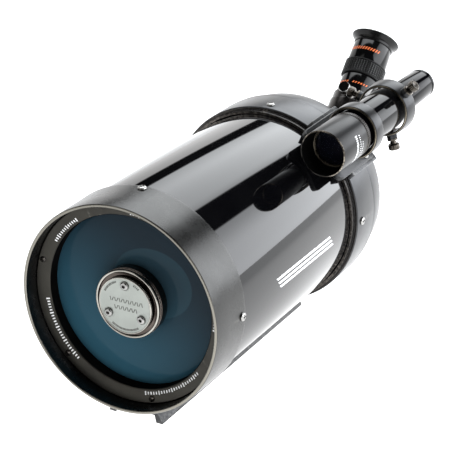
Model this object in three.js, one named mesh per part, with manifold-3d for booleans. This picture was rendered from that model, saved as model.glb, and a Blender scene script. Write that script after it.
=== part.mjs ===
// A 127 mm Schmidt-Cassegrain spotting telescope with its finder, 45 degree diagonal and eyepiece.
// Millimetres, +Z up. The optical axis runs along Y and the objective faces -Y. The origin is the
// middle of the dovetail bar's underside. Places along the tube ("station") are counted from the
// front rim, and stations beyond the rear cell grow from the pieces in front of them.
import * as THREE from 'three';
import { mergeVertices } from 'three/addons/utils/BufferGeometryUtils.js';
import Module from 'manifold-3d';

const wasm = await Module();
wasm.setup();

// ---------------------------------------------------------------- driving dimensions
const FIT = 0.3;                      // clearance between pieces that meet
const HALF_TURN = Math.PI;

// Facets round a turned piece.
const WIDE = 44;
const MIDDLE = 24;
const SMALL = 18;
const TINY = 8;

// Optical tube and front cell.
const APERTURE = 127;                 // clear aperture
const SEAT_WIDTH = 11.5;              // clear aperture to the outside of the tube, on the radius
const TUBE_WALL = 1.6;
const TUBE_LENGTH = 200;
const CORRECTOR_THICKNESS = 4;
const CORRECTOR_SEAT = 4;             // how far the corrector reaches past the clear aperture
const RIM_WALL = 2.4;                 // wall of the front cell round the retaining ring
const SKIRT_WALL = 2.3;               // wall of the front cell round the tube
const SKIRT_OVERLAP = 8.9;            // front cell over the tube
const CELL_DRAFT = 0.7;               // taper of the front cell on the radius
const RING_SET_BACK = 12.6;           // front rim to the retaining ring
const RING_DEPTH = 11.1;
const RING_CLEARANCE = 1;             // the ring's opening past the clear aperture, on the radius
const RING_SLOPE = 2.6;               // how far the ring's face falls towards the glass
const SEAT_LIP = 1.6;

// Secondary mirror holder in the middle of the corrector.
const HOLDER_RADIUS = 25.4;
const HOLDER_STAND_OFF = 11.6;        // face of the outer ring in front of the glass
const HOLDER_RING_WIDTH = 1.9;
const HOLDER_BOSS_RADIUS = 21;
const HOLDER_BOSS_RISE = 1.2;
const FACE_PLATE_THICKNESS = 1.2;
const SPIGOT_RADIUS = 18.7;
const SECONDARY_RADIUS = 17.5;
const SECONDARY_THICKNESS = 6;
const SECONDARY_BAFFLE_LENGTH = 31;
const COLLIMATION_CIRCLE = 15;

// Rear cell.
const REAR_OVERLAP = 18.6;            // rear cell over the tube
const REAR_WALL = 4.2;
const REAR_LIP_WALL = 1.8;
const REAR_LIP_LENGTH = 4.6;
const REAR_STRAIGHT = 30;
const REAR_TAPER_LENGTH = 20;
const REAR_TAPER_DROP = 4.3;
const REAR_CORNER = 5.5;
const BACK_WALL = 5;
const PORT_RADIUS = 24.8;
const PORT_LENGTH = 10;
const PORT_BORE = 18.5;

// Primary mirror and focuser.
const MIRROR_RADIUS = 66.5;
const MIRROR_THICKNESS = 12;
const MIRROR_CURVE_RADIUS = 508;
const BAFFLE_RADIUS = 15.2;
const BAFFLE_WALL = 1.4;
const BAFFLE_LENGTH = 150;
const SLEEVE_WALL = 3.3;
const CARRIER_FLANGE = 4;
const FOCUS_TRAVEL = 8;               // each way from the middle
const KNOB_CIRCLE = 44;
const KNOB_RADIUS = 13;
const KNOB_LENGTH = 21;
const KNOB_ANGLE = 215;               // degrees from +X towards +Z
const ROD_RADIUS = 3;

// Visual back, diagonal and eyepiece, all on the 1.25 inch fitting.
const BARREL_RADIUS = 15.85;
const BARREL_WALL = 1.4;
const SOCKET_WALL = 4.2;
const COLLAR_RADIUS = 29.5;
const COLLAR_LENGTH = 13;
const SLEEVE_LENGTH = 30;
const NOSE_LENGTH = 25;
const DIAGONAL_ARM = 29.6;              // front face of the diagonal to its bend
const DIAGONAL_NECK = 27;             // bend to the seat of the eyepiece holder
const DIAGONAL_HALF = 17;             // half height of the diagonal across the light path
const DIAGONAL_HALF_WIDTH = 18;
const DIAGONAL_SHELL = 2.5;
const DIAGONAL_BEND = 45;             // degrees
const HOLDER_LENGTH = 26.5;           // eyepiece holder
const HOLDER_STEP = 18.5;             // its thicker lower part
const CLAMP_HEIGHT = 23;              // eyepiece clamp screw above the holder's seat
const EYEPIECE_STEP = 0.35;           // eyepiece body proud of its barrel
const EYEPIECE_RADIUS = BARREL_RADIUS + EYEPIECE_STEP;
const EYEPIECE_LOWER = 16.4;
const GRIP_LENGTH = 13.8;
const GRIP_RISE = 1.7;                // grip proud of the eyepiece body
const GRIP_RADIUS = EYEPIECE_RADIUS + GRIP_RISE;
const EYEPIECE_UPPER = 18;
const EYEPIECE_FLARE = 0.1;           // body wider at its shoulder than at its foot
const EYEPIECE_TOP_RADIUS = EYEPIECE_RADIUS + EYEPIECE_FLARE;
const EYECUP_COLLAR = 3.2;
const EYECUP_FLARE = 4.4;
const EYECUP_REACH = 4.2;             // eyecup's rim outside the body
const EYECUP_RADIUS = EYEPIECE_TOP_RADIUS + EYECUP_REACH;

// Dovetail bar.
const BAR_LEAD = 21.5;                // front rim to the front end of the bar
const BAR_TAIL = 25.8;                // bar past the rear cell's step
const BAR_HALF_WIDTH = 22;
const BAR_TOP_HALF_WIDTH = 17.5;
const BAR_HEIGHT = 10.3;
const BAR_FOOT = 5;
const BAR_WEB = 4.4;
const BAR_PAD_LENGTH = 48;
const BAR_THREAD_RADIUS = 3.175;      // 1/4 inch tripod thread
const BAR_THREAD_SPACING = 25.4;
const SADDLE_MIN = 1.9;
const SADDLE_HALF_WIDTH = 14;

// Finder and its bracket.
const FINDER_ANGLE = 45;              // degrees from straight up towards +X
const PAD_HALF_WIDTH = 26;
const PAD_RISE = 1.2;
const PAD_LENGTH = 42;
const BRACKET_HALF_WIDTH = 23;
const BRACKET_PLATE = 4.5;
const BRACKET_REACH = 26;             // bracket ahead of the rear cell's step
const BRACKET_LENGTH = 62;
const SPINE_HALF_WIDTH = 8;
const RING_WIDTH = 13;
const REAR_RING_WIDTH = 15;
const RING_SPACING = 56;              // front edge to front edge
const FRONT_RING_AHEAD = 9.2;         // front ring ahead of the rear cell's step
const REAR_RING_FLARE = 0.8;
const RING_WALL = 1.9;
const RING_GAP = 2.2;                 // finder tube to the bore of the bracket's rings
const FINDER_TUBE_RADIUS = 16.3;
const RING_BORE = FINDER_TUBE_RADIUS + RING_GAP;
const RING_RADIUS = RING_BORE + RING_WALL;
const SPINE_HEIGHT = 3;               // bracket's plate to the bore of its rings
const FINDER_RISE = BRACKET_PLATE + SPINE_HEIGHT + RING_BORE;
const FINDER_TUBE_WALL = 1.4;
const FINDER_CELL_WALL = 1.2;         // objective cell outside the finder tube
const FINDER_CELL_RADIUS = FINDER_TUBE_RADIUS + FINDER_CELL_WALL;
const FINDER_CELL_LENGTH = 40.7;
const FINDER_CELL_GAP = 8.5;          // cell to the bracket's front ring
const FINDER_APERTURE_RADIUS = 15.3;  // 30 mm objective
const FINDER_LENS_DEPTH = 18;
const FINDER_LENS_THICKNESS = 5;
const FINDER_TUBE_TAIL = 3;           // finder tube past the rear ring
const FINDER_EYE_RADIUS = 12;
const FINDER_EYE_LENGTH = 58.5;
const LOCK_RING_LENGTH = 4.5;

// Fasteners.
const SCREW_RADIUS = 1.5;
const SCREW_HEAD_RADIUS = 3.3;
const SCREW_HEAD_HEIGHT = 1.7;
const THUMB_RADIUS = 4.4;
const THUMB_LENGTH = 6.5;
const THUMB_SHANK = 1.9;

// ---------------------------------------------------------------- worked-out places
const TUBE_RADIUS = APERTURE / 2 + SEAT_WIDTH;
const CELL_RADIUS = TUBE_RADIUS + FIT + SKIRT_WALL;
const RIM_RADIUS = CELL_RADIUS - CELL_DRAFT;
const REAR_RADIUS = TUBE_RADIUS + FIT + REAR_WALL;
const GLASS_FRONT = RING_SET_BACK + RING_DEPTH + FIT;
const GLASS_BACK = GLASS_FRONT + CORRECTOR_THICKNESS;
const LIP_FRONT = GLASS_BACK + FIT;
const TUBE_FRONT = LIP_FRONT + SEAT_LIP + FIT;
const CELL_BACK = TUBE_FRONT + SKIRT_OVERLAP;
const TUBE_BACK = TUBE_FRONT + TUBE_LENGTH;
const REAR_LIP_FRONT = TUBE_BACK - REAR_OVERLAP;
const REAR_STEP = REAR_LIP_FRONT + REAR_LIP_LENGTH;
const REAR_TAPER_START = REAR_STEP + REAR_STRAIGHT;
const REAR_BACK = REAR_TAPER_START + REAR_TAPER_LENGTH + REAR_CORNER;
const REAR_BACK_RADIUS = REAR_RADIUS - REAR_TAPER_DROP;
const INNER_BACK = REAR_BACK - BACK_WALL;
const AXIS_HEIGHT = REAR_RADIUS + FIT + SADDLE_MIN + FIT + BAR_HEIGHT;
const BAR_BACK = REAR_STEP + BAR_TAIL;
const BAR_MIDDLE = (BAR_LEAD + BAR_BACK) / 2;
const CLAMP_LENGTH = THUMB_LENGTH + SOCKET_WALL + 3;

const rings = { front: REAR_STEP - FRONT_RING_AHEAD };
rings.rear = rings.front + RING_SPACING;
rings.end = rings.rear + REAR_RING_WIDTH;

// ---------------------------------------------------------------- shape helpers
function radians(degrees) {
  return degrees * HALF_TURN / 180;
}

/** Keeps only positions, merges the shared ones and drops the slivers this leaves. */
function welded(source) {
  const geometry = source.index ? source.clone() : source;
  geometry.deleteAttribute('normal');
  geometry.deleteAttribute('uv');
  const merged = mergeVertices(geometry, 1e-4);
  const corners = merged.index.array;
  const kept = [];
  for (let i = 0; i < corners.length; i += 3) {
    const [a, b, c] = [corners[i], corners[i + 1], corners[i + 2]];
    if (a !== b && b !== c && c !== a) kept.push(a, b, c);
  }
  merged.setIndex(kept);
  return merged;
}

function toSolid(geometry) {
  const merged = welded(geometry);
  return new wasm.Manifold(new wasm.Mesh({
    numProp: 3,
    vertProperties: new Float32Array(merged.attributes.position.array),
    triVerts: new Uint32Array(merged.index.array),
  }));
}

function toGeometry(solid) {
  const mesh = solid.getMesh();
  const geometry = new THREE.BufferGeometry();
  geometry.setAttribute('position', new THREE.BufferAttribute(new Float32Array(mesh.vertProperties), 3));
  geometry.setIndex(new THREE.BufferAttribute(new Uint32Array(mesh.triVerts), 1));
  return geometry;
}

function joined(...pieces) {
  return toGeometry(pieces.map(toSolid).reduce((whole, next) => whole.add(next)));
}

function cut(piece, ...tools) {
  return toGeometry(tools.map(toSolid).reduce((whole, tool) => whole.subtract(tool), toSolid(piece)));
}

/** Turns a closed outline of [radius, station] points about the Y axis. */
function turned(outline, facets) {
  const points = outline.map(([radius, station]) => new THREE.Vector2(radius, station));
  if (THREE.ShapeUtils.area(points) < 0) points.reverse();
  points.push(points[0].clone());
  return welded(new THREE.LatheGeometry(points, facets));
}

/** A plain disc or ring between two stations. */
function ring(outer, inner, front, back, facets) {
  return turned([[inner, front], [outer, front], [outer, back], [inner, back]], facets);
}

/** A round bar along +Z from one height to another. */
function post(radius, low, high, facets = TINY) {
  const bar = new THREE.CylinderGeometry(radius, radius, high - low, facets);
  bar.rotateX(HALF_TURN / 2);
  bar.translate(0, 0, (low + high) / 2);
  return bar;
}

/** A post set at a station and turned round the Y axis; 0 degrees is straight up, 90 is +X. */
function radialPost(radius, low, high, station, degrees, facets = TINY) {
  const bar = post(radius, low, high, facets);
  bar.rotateY(radians(degrees));
  bar.translate(0, station, 0);
  return bar;
}

function block([left, right], [front, back], [low, high]) {
  const box = new THREE.BoxGeometry(right - left, back - front, high - low);
  box.translate((left + right) / 2, (front + back) / 2, (low + high) / 2);
  return box;
}

/** Points on an arc, degrees measured from +radius towards +station. */
function arc(centre, radius, from, to, steps) {
  const points = [];
  for (let i = 0; i <= steps; i += 1) {
    const angle = radians(from + (to - from) * i / steps);
    points.push([centre[0] + radius * Math.cos(angle), centre[1] + radius * Math.sin(angle)]);
  }
  return points;
}

/** Extrudes an outline of [y, z] points across the plane x = 0. */
function acrossX(outline, halfWidth) {
  const shape = new THREE.Shape(outline.map(([y, z]) => new THREE.Vector2(y, z)));
  const solid = new THREE.ExtrudeGeometry(shape, { depth: 2 * halfWidth, bevelEnabled: false });
  solid.translate(0, 0, -halfWidth);
  solid.rotateY(HALF_TURN / 2);
  solid.rotateX(HALF_TURN / 2);
  return welded(solid);
}

/** Extrudes an outline of [x, z] points along Y. */
function alongY(outline, front, back) {
  const shape = new THREE.Shape(outline.map(([x, z]) => new THREE.Vector2(x, -z)));
  const solid = new THREE.ExtrudeGeometry(shape, { depth: back - front, bevelEnabled: false });
  solid.rotateX(-HALF_TURN / 2);
  solid.translate(0, front, 0);
  return welded(solid);
}

// ---------------------------------------------------------------- finishes
const finishes = {
  powderCoat: { color: 0x4a4b4d, roughness: 0.55, metalness: 0.3 },
  glossBlack: { color: 0x08090b, roughness: 0.08, metalness: 0.0 },
  satinBlack: { color: 0x17181a, roughness: 0.45, metalness: 0.1 },
  coatedGlass: { color: 0x2b4656, roughness: 0.06, metalness: 0.0 },
  clearGlass: { color: 0xb9c6cc, roughness: 0.04, metalness: 0.0 },
  mirrorCoat: { color: 0xd5d9dc, roughness: 0.04, metalness: 1.0 },
  facePlate: { color: 0xb6bbb4, roughness: 0.4, metalness: 0.7 },
  chrome: { color: 0xc9ccd0, roughness: 0.12, metalness: 1.0 },
  gunmetal: { color: 0x5c5a57, roughness: 0.3, metalness: 0.8 },
  rubber: { color: 0x1b1b1c, roughness: 0.85, metalness: 0.0 },
};

function piece(parent, name, geometry, finish) {
  const flat = geometry.index ? geometry.toNonIndexed() : geometry;
  flat.computeVertexNormals();
  const mesh = new THREE.Mesh(flat, new THREE.MeshStandardMaterial(finishes[finish]));
  mesh.name = name;
  parent.add(mesh);
  return mesh;
}

function subgroup(parent, { at = [0, 0, 0], turn = [0, 0, 0] } = {}) {
  const group = new THREE.Group();
  group.position.set(...at);
  group.rotation.set(...turn);
  parent.add(group);
  return group;
}

// ---------------------------------------------------------------- fasteners
/** Domed screw along Z: the head sits on z = 0 and the shank reaches down. */
function screwOutline(headRadius, headHeight, shankRadius, reach) {
  return [[0, -reach], [shankRadius, -reach], [shankRadius, 0], [headRadius, 0],
    [headRadius, headHeight * 0.45], [headRadius * 0.62, headHeight], [0, headHeight]];
}

function screw(headRadius, headHeight, shankRadius, reach) {
  const solid = turned(screwOutline(headRadius, headHeight, shankRadius, reach), TINY);
  solid.rotateX(HALF_TURN / 2);
  return solid;
}

/** Thumbscrew along Z: tip at z = 0, a neck and a waisted head beyond the wall it goes through. */
function thumbscrew(reach, shank, headRadius, headLength) {
  const neck = headRadius * 0.55;
  const solid = turned([[0, 0], [shank, 0], [shank, reach], [neck, reach], [neck, reach + 1.6],
    [headRadius * 0.8, reach + 1.6], [headRadius, reach + 2.4], [headRadius, reach + headLength - 0.6],
    [headRadius * 0.85, reach + headLength], [0, reach + headLength]], MIDDLE / 2);
  solid.rotateX(HALF_TURN / 2);
  return solid;
}

// ---------------------------------------------------------------- front end
const cellScrewStation = TUBE_FRONT + SKIRT_OVERLAP / 2;
const rearScrewStation = REAR_STEP + 8;
const quarterTurns = [0, 90, 180, 270];
const barScrewFront = TUBE_FRONT - 2.6;
const barScrewRear = BAR_BACK - 6.5;
const cellBore = RIM_RADIUS - RIM_WALL;
const glassRadius = APERTURE / 2 + CORRECTOR_SEAT;

function buildFrontCell(scope) {
  const lipRadius = APERTURE / 2 + 0.5;
  const shell = turned([
    [cellBore, 0.5], [cellBore + 0.6, 0], [RIM_RADIUS - 0.6, 0], [RIM_RADIUS, 0.6],
    [CELL_RADIUS, CELL_BACK - 0.5], [CELL_RADIUS - 0.5, CELL_BACK], [TUBE_RADIUS + FIT, CELL_BACK],
    [TUBE_RADIUS + FIT, TUBE_FRONT - FIT], [lipRadius, TUBE_FRONT - FIT], [lipRadius, LIP_FRONT],
    [glassRadius + FIT, LIP_FRONT], [glassRadius + FIT, GLASS_FRONT], [cellBore, GLASS_FRONT],
  ], WIDE);
  const holes = quarterTurns.map((turn) => radialPost(
    SCREW_RADIUS + FIT, TUBE_RADIUS - 2, CELL_RADIUS + 2, cellScrewStation, turn));
  holes.push(radialPost(SCREW_RADIUS + FIT, CELL_RADIUS - 6, CELL_RADIUS + 2, barScrewFront, 180));
  piece(scope, 'front_cell', cut(shell, ...holes), 'powderCoat');

  piece(scope, 'corrector_plate',
    ring(glassRadius, SPIGOT_RADIUS + FIT, GLASS_FRONT, GLASS_BACK, WIDE), 'coatedGlass');

  const ringBack = RING_SET_BACK + RING_DEPTH;
  const opening = APERTURE / 2 + RING_CLEARANCE;
  piece(scope, 'corrector_retaining_ring', turned([
    [opening, ringBack], [opening, RING_SET_BACK + RING_SLOPE],
    [opening + 0.6, RING_SET_BACK + RING_SLOPE - 0.4], [cellBore - FIT - 0.5, RING_SET_BACK],
    [cellBore - FIT, RING_SET_BACK + 0.4], [cellBore - FIT, ringBack],
  ], WIDE), 'powderCoat');
}

function buildSecondary(scope) {
  const face = GLASS_FRONT - HOLDER_STAND_OFF;
  const base = GLASS_FRONT - FIT;
  const grooveRadius = HOLDER_RADIUS - 0.6;
  const lipInner = HOLDER_RADIUS - HOLDER_RING_WIDTH;
  const bossFace = face - HOLDER_BOSS_RISE;
  const spigotEnd = GLASS_BACK + FIT + 3.5;
  const turns = [0, 120, 240];
  const body = turned([
    [0, bossFace], [HOLDER_BOSS_RADIUS, bossFace], [HOLDER_BOSS_RADIUS, face + 2], [lipInner, face + 2],
    [lipInner, face + 0.2], [HOLDER_RADIUS - 0.4, face], [HOLDER_RADIUS, face + 0.4],
    [HOLDER_RADIUS, face + 1.6], [grooveRadius, face + 1.9], [grooveRadius, face + 2.6],
    [HOLDER_RADIUS, face + 2.9], [HOLDER_RADIUS, base], [SPIGOT_RADIUS, base],
    [SPIGOT_RADIUS, spigotEnd], [0, spigotEnd],
  ], MIDDLE);
  const holes = turns.map((turn) => {
    const hole = ring(SCREW_RADIUS + FIT, 0, bossFace - 2, spigotEnd + 2, TINY);
    hole.translate(0, 0, COLLIMATION_CIRCLE);
    hole.rotateY(radians(turn));
    return hole;
  });
  piece(scope, 'secondary_housing', cut(body, ...holes), 'satinBlack');

  const plateBack = bossFace - FIT;
  const plateFront = plateBack - FACE_PLATE_THICKNESS;
  const plate = turned([[0, plateFront], [HOLDER_BOSS_RADIUS - 0.8, plateFront],
    [HOLDER_BOSS_RADIUS, plateFront + 0.6], [HOLDER_BOSS_RADIUS, plateBack], [0, plateBack]], MIDDLE);
  piece(scope, 'secondary_face_plate', cut(plate, ...holes.map((hole) => {
    const through = hole.clone();
    through.translate(0, -6, 0);
    return through;
  })), 'facePlate');

  turns.forEach((turn, index) => {
    const bolt = turned(screwOutline(SCREW_HEAD_RADIUS, 1.9, SCREW_RADIUS, spigotEnd - plateFront), TINY * 2);
    bolt.rotateX(HALF_TURN);
    const place = subgroup(scope, { at: [0, plateFront - FIT, 0], turn: [0, radians(turn), 0] });
    const stem = subgroup(place, { at: [0, 0, COLLIMATION_CIRCLE] });
    piece(stem, `collimation_screw_${index + 1}`, bolt, 'chrome');
  });

  const baffleFront = GLASS_BACK + FIT;
  const baffleBack = baffleFront + SECONDARY_BAFFLE_LENGTH;
  const baffleInner = SPIGOT_RADIUS + FIT;
  piece(scope, 'secondary_baffle', turned([
    [baffleInner, baffleFront], [baffleInner + 5, baffleFront], [baffleInner + 5, baffleFront + 3],
    [baffleInner + 1.4, baffleFront + 4], [baffleInner + 1.4, baffleBack], [baffleInner, baffleBack],
  ], MIDDLE), 'satinBlack');

  const mirrorFront = spigotEnd + FIT + 1;
  const mirrorBack = mirrorFront + SECONDARY_THICKNESS;
  piece(scope, 'secondary_mirror', turned([[0, mirrorFront], [SECONDARY_RADIUS, mirrorFront],
    [SECONDARY_RADIUS, mirrorBack - 0.6], [SECONDARY_RADIUS * 0.5, mirrorBack - 0.15], [0, mirrorBack],
  ], MIDDLE), 'mirrorCoat');
}

// ---------------------------------------------------------------- tube and rear cell
function buildTube(scope) {
  const wall = ring(TUBE_RADIUS, TUBE_RADIUS - TUBE_WALL, TUBE_FRONT, TUBE_BACK, WIDE);
  const holes = quarterTurns.flatMap((turn) => [cellScrewStation, rearScrewStation].map(
    (station) => radialPost(SCREW_RADIUS + FIT, TUBE_RADIUS - 4, TUBE_RADIUS + 2, station, turn)));
  piece(scope, 'optical_tube', cut(wall, ...holes), 'glossBlack');
}

function buildCellScrews(scope) {
  const rows = [
    ['front_cell_screw', cellScrewStation, CELL_RADIUS],
    ['rear_cell_screw', rearScrewStation, REAR_RADIUS],
  ];
  rows.forEach(([name, station, radius]) => quarterTurns.forEach((turn, index) => {
    const place = subgroup(scope, { at: [0, station, 0], turn: [0, radians(turn), 0] });
    const seat = subgroup(place, { at: [0, 0, radius + FIT] });
    const reach = radius + FIT - (TUBE_RADIUS - TUBE_WALL - 1.2);
    const body = screw(SCREW_HEAD_RADIUS, SCREW_HEAD_HEIGHT, SCREW_RADIUS, reach);
    piece(seat, `${name}_${index + 1}`, body, 'chrome');
  }));
}

const knobDirection = radians(90 - KNOB_ANGLE);
const knobPlace = [KNOB_CIRCLE * Math.sin(knobDirection), 0, KNOB_CIRCLE * Math.cos(knobDirection)];
const knobFront = REAR_BACK + 3.5;

function buildRearCell(scope) {
  const outer = turned([
    [0, REAR_LIP_FRONT], [TUBE_RADIUS + FIT + REAR_LIP_WALL - 0.4, REAR_LIP_FRONT],
    [TUBE_RADIUS + FIT + REAR_LIP_WALL, REAR_LIP_FRONT + 0.4],
    [TUBE_RADIUS + FIT + REAR_LIP_WALL, REAR_STEP], [REAR_RADIUS - 0.6, REAR_STEP],
    [REAR_RADIUS, REAR_STEP + 0.6], [REAR_RADIUS, REAR_TAPER_START],
    [REAR_BACK_RADIUS, REAR_BACK - REAR_CORNER],
    ...arc([REAR_BACK_RADIUS - REAR_CORNER, REAR_BACK - REAR_CORNER], REAR_CORNER, 22, 90, 3),
    [PORT_RADIUS + 3, REAR_BACK], [PORT_RADIUS + 3, REAR_BACK + 2], [PORT_RADIUS, REAR_BACK + 2],
    [PORT_RADIUS, REAR_BACK + PORT_LENGTH], [0, REAR_BACK + PORT_LENGTH],
  ], WIDE);
  const hollow = turned([
    [0, REAR_LIP_FRONT - 1], [TUBE_RADIUS + FIT, REAR_LIP_FRONT - 1], [TUBE_RADIUS + FIT, TUBE_BACK + FIT],
    [TUBE_RADIUS - TUBE_WALL, TUBE_BACK + FIT], [TUBE_RADIUS - TUBE_WALL, TUBE_BACK + FIT + 2.5],
    [TUBE_RADIUS + FIT, TUBE_BACK + FIT + 3.5], [TUBE_RADIUS + FIT, REAR_TAPER_START + 2],
    [REAR_BACK_RADIUS - REAR_WALL, INNER_BACK], [PORT_BORE, INNER_BACK],
    [PORT_BORE, REAR_BACK + PORT_LENGTH + 1], [0, REAR_BACK + PORT_LENGTH + 1],
  ], WIDE);
  const seat = REAR_RADIUS + PAD_RISE;
  const padSpan = [REAR_STEP, REAR_STEP + PAD_LENGTH];
  const pad = block([-PAD_HALF_WIDTH, PAD_HALF_WIDTH], padSpan, [seat - 12, seat]);
  pad.rotateY(radians(FINDER_ANGLE));
  const boss = ring(9, 0, INNER_BACK + 1, REAR_BACK + 3.2, SMALL);
  boss.translate(...knobPlace);
  const rodHole = ring(ROD_RADIUS + FIT, 0, INNER_BACK - 2, REAR_BACK + 6, TINY);
  rodHole.translate(...knobPlace);
  const holes = quarterTurns.map((turn) => radialPost(
    SCREW_RADIUS + FIT, TUBE_RADIUS - 2, REAR_RADIUS + 2, rearScrewStation, turn));
  holes.push(radialPost(SCREW_RADIUS + FIT, REAR_RADIUS - 3.4, REAR_RADIUS + 2, barScrewRear, 180));
  bracketScrewPlaces.forEach(([across, station]) => {
    const hole = post(SCREW_RADIUS + FIT, seat - 8, seat + 2);
    hole.translate(across, station, 0);
    hole.rotateY(radians(FINDER_ANGLE));
    holes.push(hole);
  });
  piece(scope, 'rear_cell', cut(joined(outer, pad, boss), hollow, rodHole, ...holes), 'powderCoat');
}

// ---------------------------------------------------------------- primary mirror and focuser
function buildFocuser(scope) {
  const sleeveBore = BAFFLE_RADIUS + FIT;
  const sleeveRadius = sleeveBore + SLEEVE_WALL;
  const flangeBack = INNER_BACK - FOCUS_TRAVEL - 5;
  const flangeFront = flangeBack - CARRIER_FLANGE;
  const mirrorBack = flangeFront - FIT;
  const mirrorFront = mirrorBack - MIRROR_THICKNESS;
  const rim = glassSag(MIRROR_RADIUS);
  const face = [];
  for (let i = 0; i <= 6; i += 1) {
    const radius = sleeveRadius + FIT + (MIRROR_RADIUS - sleeveRadius - FIT) * i / 6;
    face.push([radius, mirrorFront + rim - glassSag(radius)]);
  }
  piece(scope, 'primary_mirror', turned([...face, [MIRROR_RADIUS, mirrorBack],
    [sleeveRadius + FIT, mirrorBack]], WIDE), 'mirrorCoat');

  piece(scope, 'mirror_carrier', turned([[sleeveBore, mirrorFront - 2], [sleeveRadius, mirrorFront - 2],
    [sleeveRadius, flangeFront], [KNOB_CIRCLE + ROD_RADIUS + 4, flangeFront],
    [KNOB_CIRCLE + ROD_RADIUS + 4, flangeBack], [sleeveBore, flangeBack]], MIDDLE), 'satinBlack');

  const baffleBack = REAR_BACK + PORT_LENGTH - 2;
  piece(scope, 'baffle_tube', turned([
    [BAFFLE_RADIUS - BAFFLE_WALL, baffleBack - BAFFLE_LENGTH], [BAFFLE_RADIUS, baffleBack - BAFFLE_LENGTH],
    [BAFFLE_RADIUS, INNER_BACK - 3], [PORT_BORE - FIT, INNER_BACK - 3], [PORT_BORE - FIT, baffleBack],
    [BAFFLE_RADIUS - BAFFLE_WALL, baffleBack]], MIDDLE), 'satinBlack');

  const rodFront = flangeBack + FIT;
  const rodBack = knobFront + KNOB_LENGTH - FOCUS_TRAVEL - 3;
  const rodPlace = subgroup(scope, { at: knobPlace });
  piece(rodPlace, 'focus_rod', ring(ROD_RADIUS, 0, rodFront, rodBack, TINY), 'chrome');

  const bore = ROD_RADIUS + FIT;
  piece(rodPlace, 'focus_knob', turned([[bore, knobFront], [KNOB_RADIUS - 2.5, knobFront],
    [KNOB_RADIUS - 2.5, knobFront + 2], [KNOB_RADIUS, knobFront + 2.8],
    [KNOB_RADIUS, knobFront + KNOB_LENGTH - 1.2],
    [KNOB_RADIUS - 1.2, knobFront + KNOB_LENGTH], [0, knobFront + KNOB_LENGTH],
    [0, knobFront + KNOB_LENGTH - 1.8], [bore, knobFront + KNOB_LENGTH - 1.8]], SMALL), 'rubber');
}

function glassSag(radius) {
  return MIRROR_CURVE_RADIUS - Math.sqrt(MIRROR_CURVE_RADIUS ** 2 - radius ** 2);
}

// ---------------------------------------------------------------- visual back and diagonal
const socketBore = BARREL_RADIUS + FIT;
const sleeveFront = REAR_BACK + PORT_LENGTH + FIT;
const sleeveBack = sleeveFront + SLEEVE_LENGTH;
const diagonalFront = sleeveBack + FIT;
const bendStation = diagonalFront + DIAGONAL_ARM;
const mouthBore = BARREL_RADIUS - BARREL_WALL - 0.5;

function buildVisualBack(scope) {
  const collarFront = REAR_BACK + 2 + FIT;
  const flange = sleeveFront + 2.6;
  const sleeveRadius = socketBore + SOCKET_WALL;
  piece(scope, 'visual_back_collar', turned([
    [PORT_RADIUS + FIT, collarFront], [COLLAR_RADIUS - 1, collarFront], [COLLAR_RADIUS, collarFront + 1],
    [COLLAR_RADIUS, collarFront + COLLAR_LENGTH - 1], [COLLAR_RADIUS - 1, collarFront + COLLAR_LENGTH],
    [sleeveRadius + FIT, collarFront + COLLAR_LENGTH], [sleeveRadius + FIT, flange + FIT],
    [PORT_RADIUS + FIT, flange + FIT]], MIDDLE), 'powderCoat');

  const clampStation = sleeveBack - 8;
  const sleeve = turned([[socketBore, sleeveFront], [PORT_RADIUS, sleeveFront], [PORT_RADIUS, flange],
    [sleeveRadius, flange], [sleeveRadius, sleeveBack - 0.8], [sleeveRadius - 0.8, sleeveBack],
    [socketBore, sleeveBack]], MIDDLE);
  const clampHole = radialPost(THUMB_SHANK + FIT, BARREL_RADIUS - 3, sleeveRadius + 3, clampStation, 270);
  piece(scope, 'visual_back_sleeve', cut(sleeve, clampHole), 'satinBlack');

  const place = subgroup(scope, { at: [0, clampStation, 0], turn: [0, radians(270), 0] });
  const seat = subgroup(place, { at: [0, 0, BARREL_RADIUS + FIT] });
  piece(seat, 'visual_back_thumbscrew',
    thumbscrew(SOCKET_WALL + 1, THUMB_SHANK, THUMB_RADIUS, CLAMP_LENGTH - SOCKET_WALL), 'chrome');
}

/** Outline of the diagonal in the YZ plane, pulled in by an inset on every side but its two mouths. */
function diagonalOutline(half, mouth) {
  const bend = radians(DIAGONAL_BEND);
  const corner = half * Math.tan(bend / 2);
  const along = [Math.cos(bend), Math.sin(bend)];
  const across = [-Math.sin(bend), Math.cos(bend)];
  const reach = DIAGONAL_NECK - mouth;
  const end = (side) => [
    bendStation + along[0] * reach + across[0] * half * side, along[1] * reach + across[1] * half * side];
  return [[diagonalFront + mouth, -half], [bendStation + corner, -half], end(-1), end(1),
    [bendStation - corner, half], [diagonalFront + mouth, half]];
}

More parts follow.
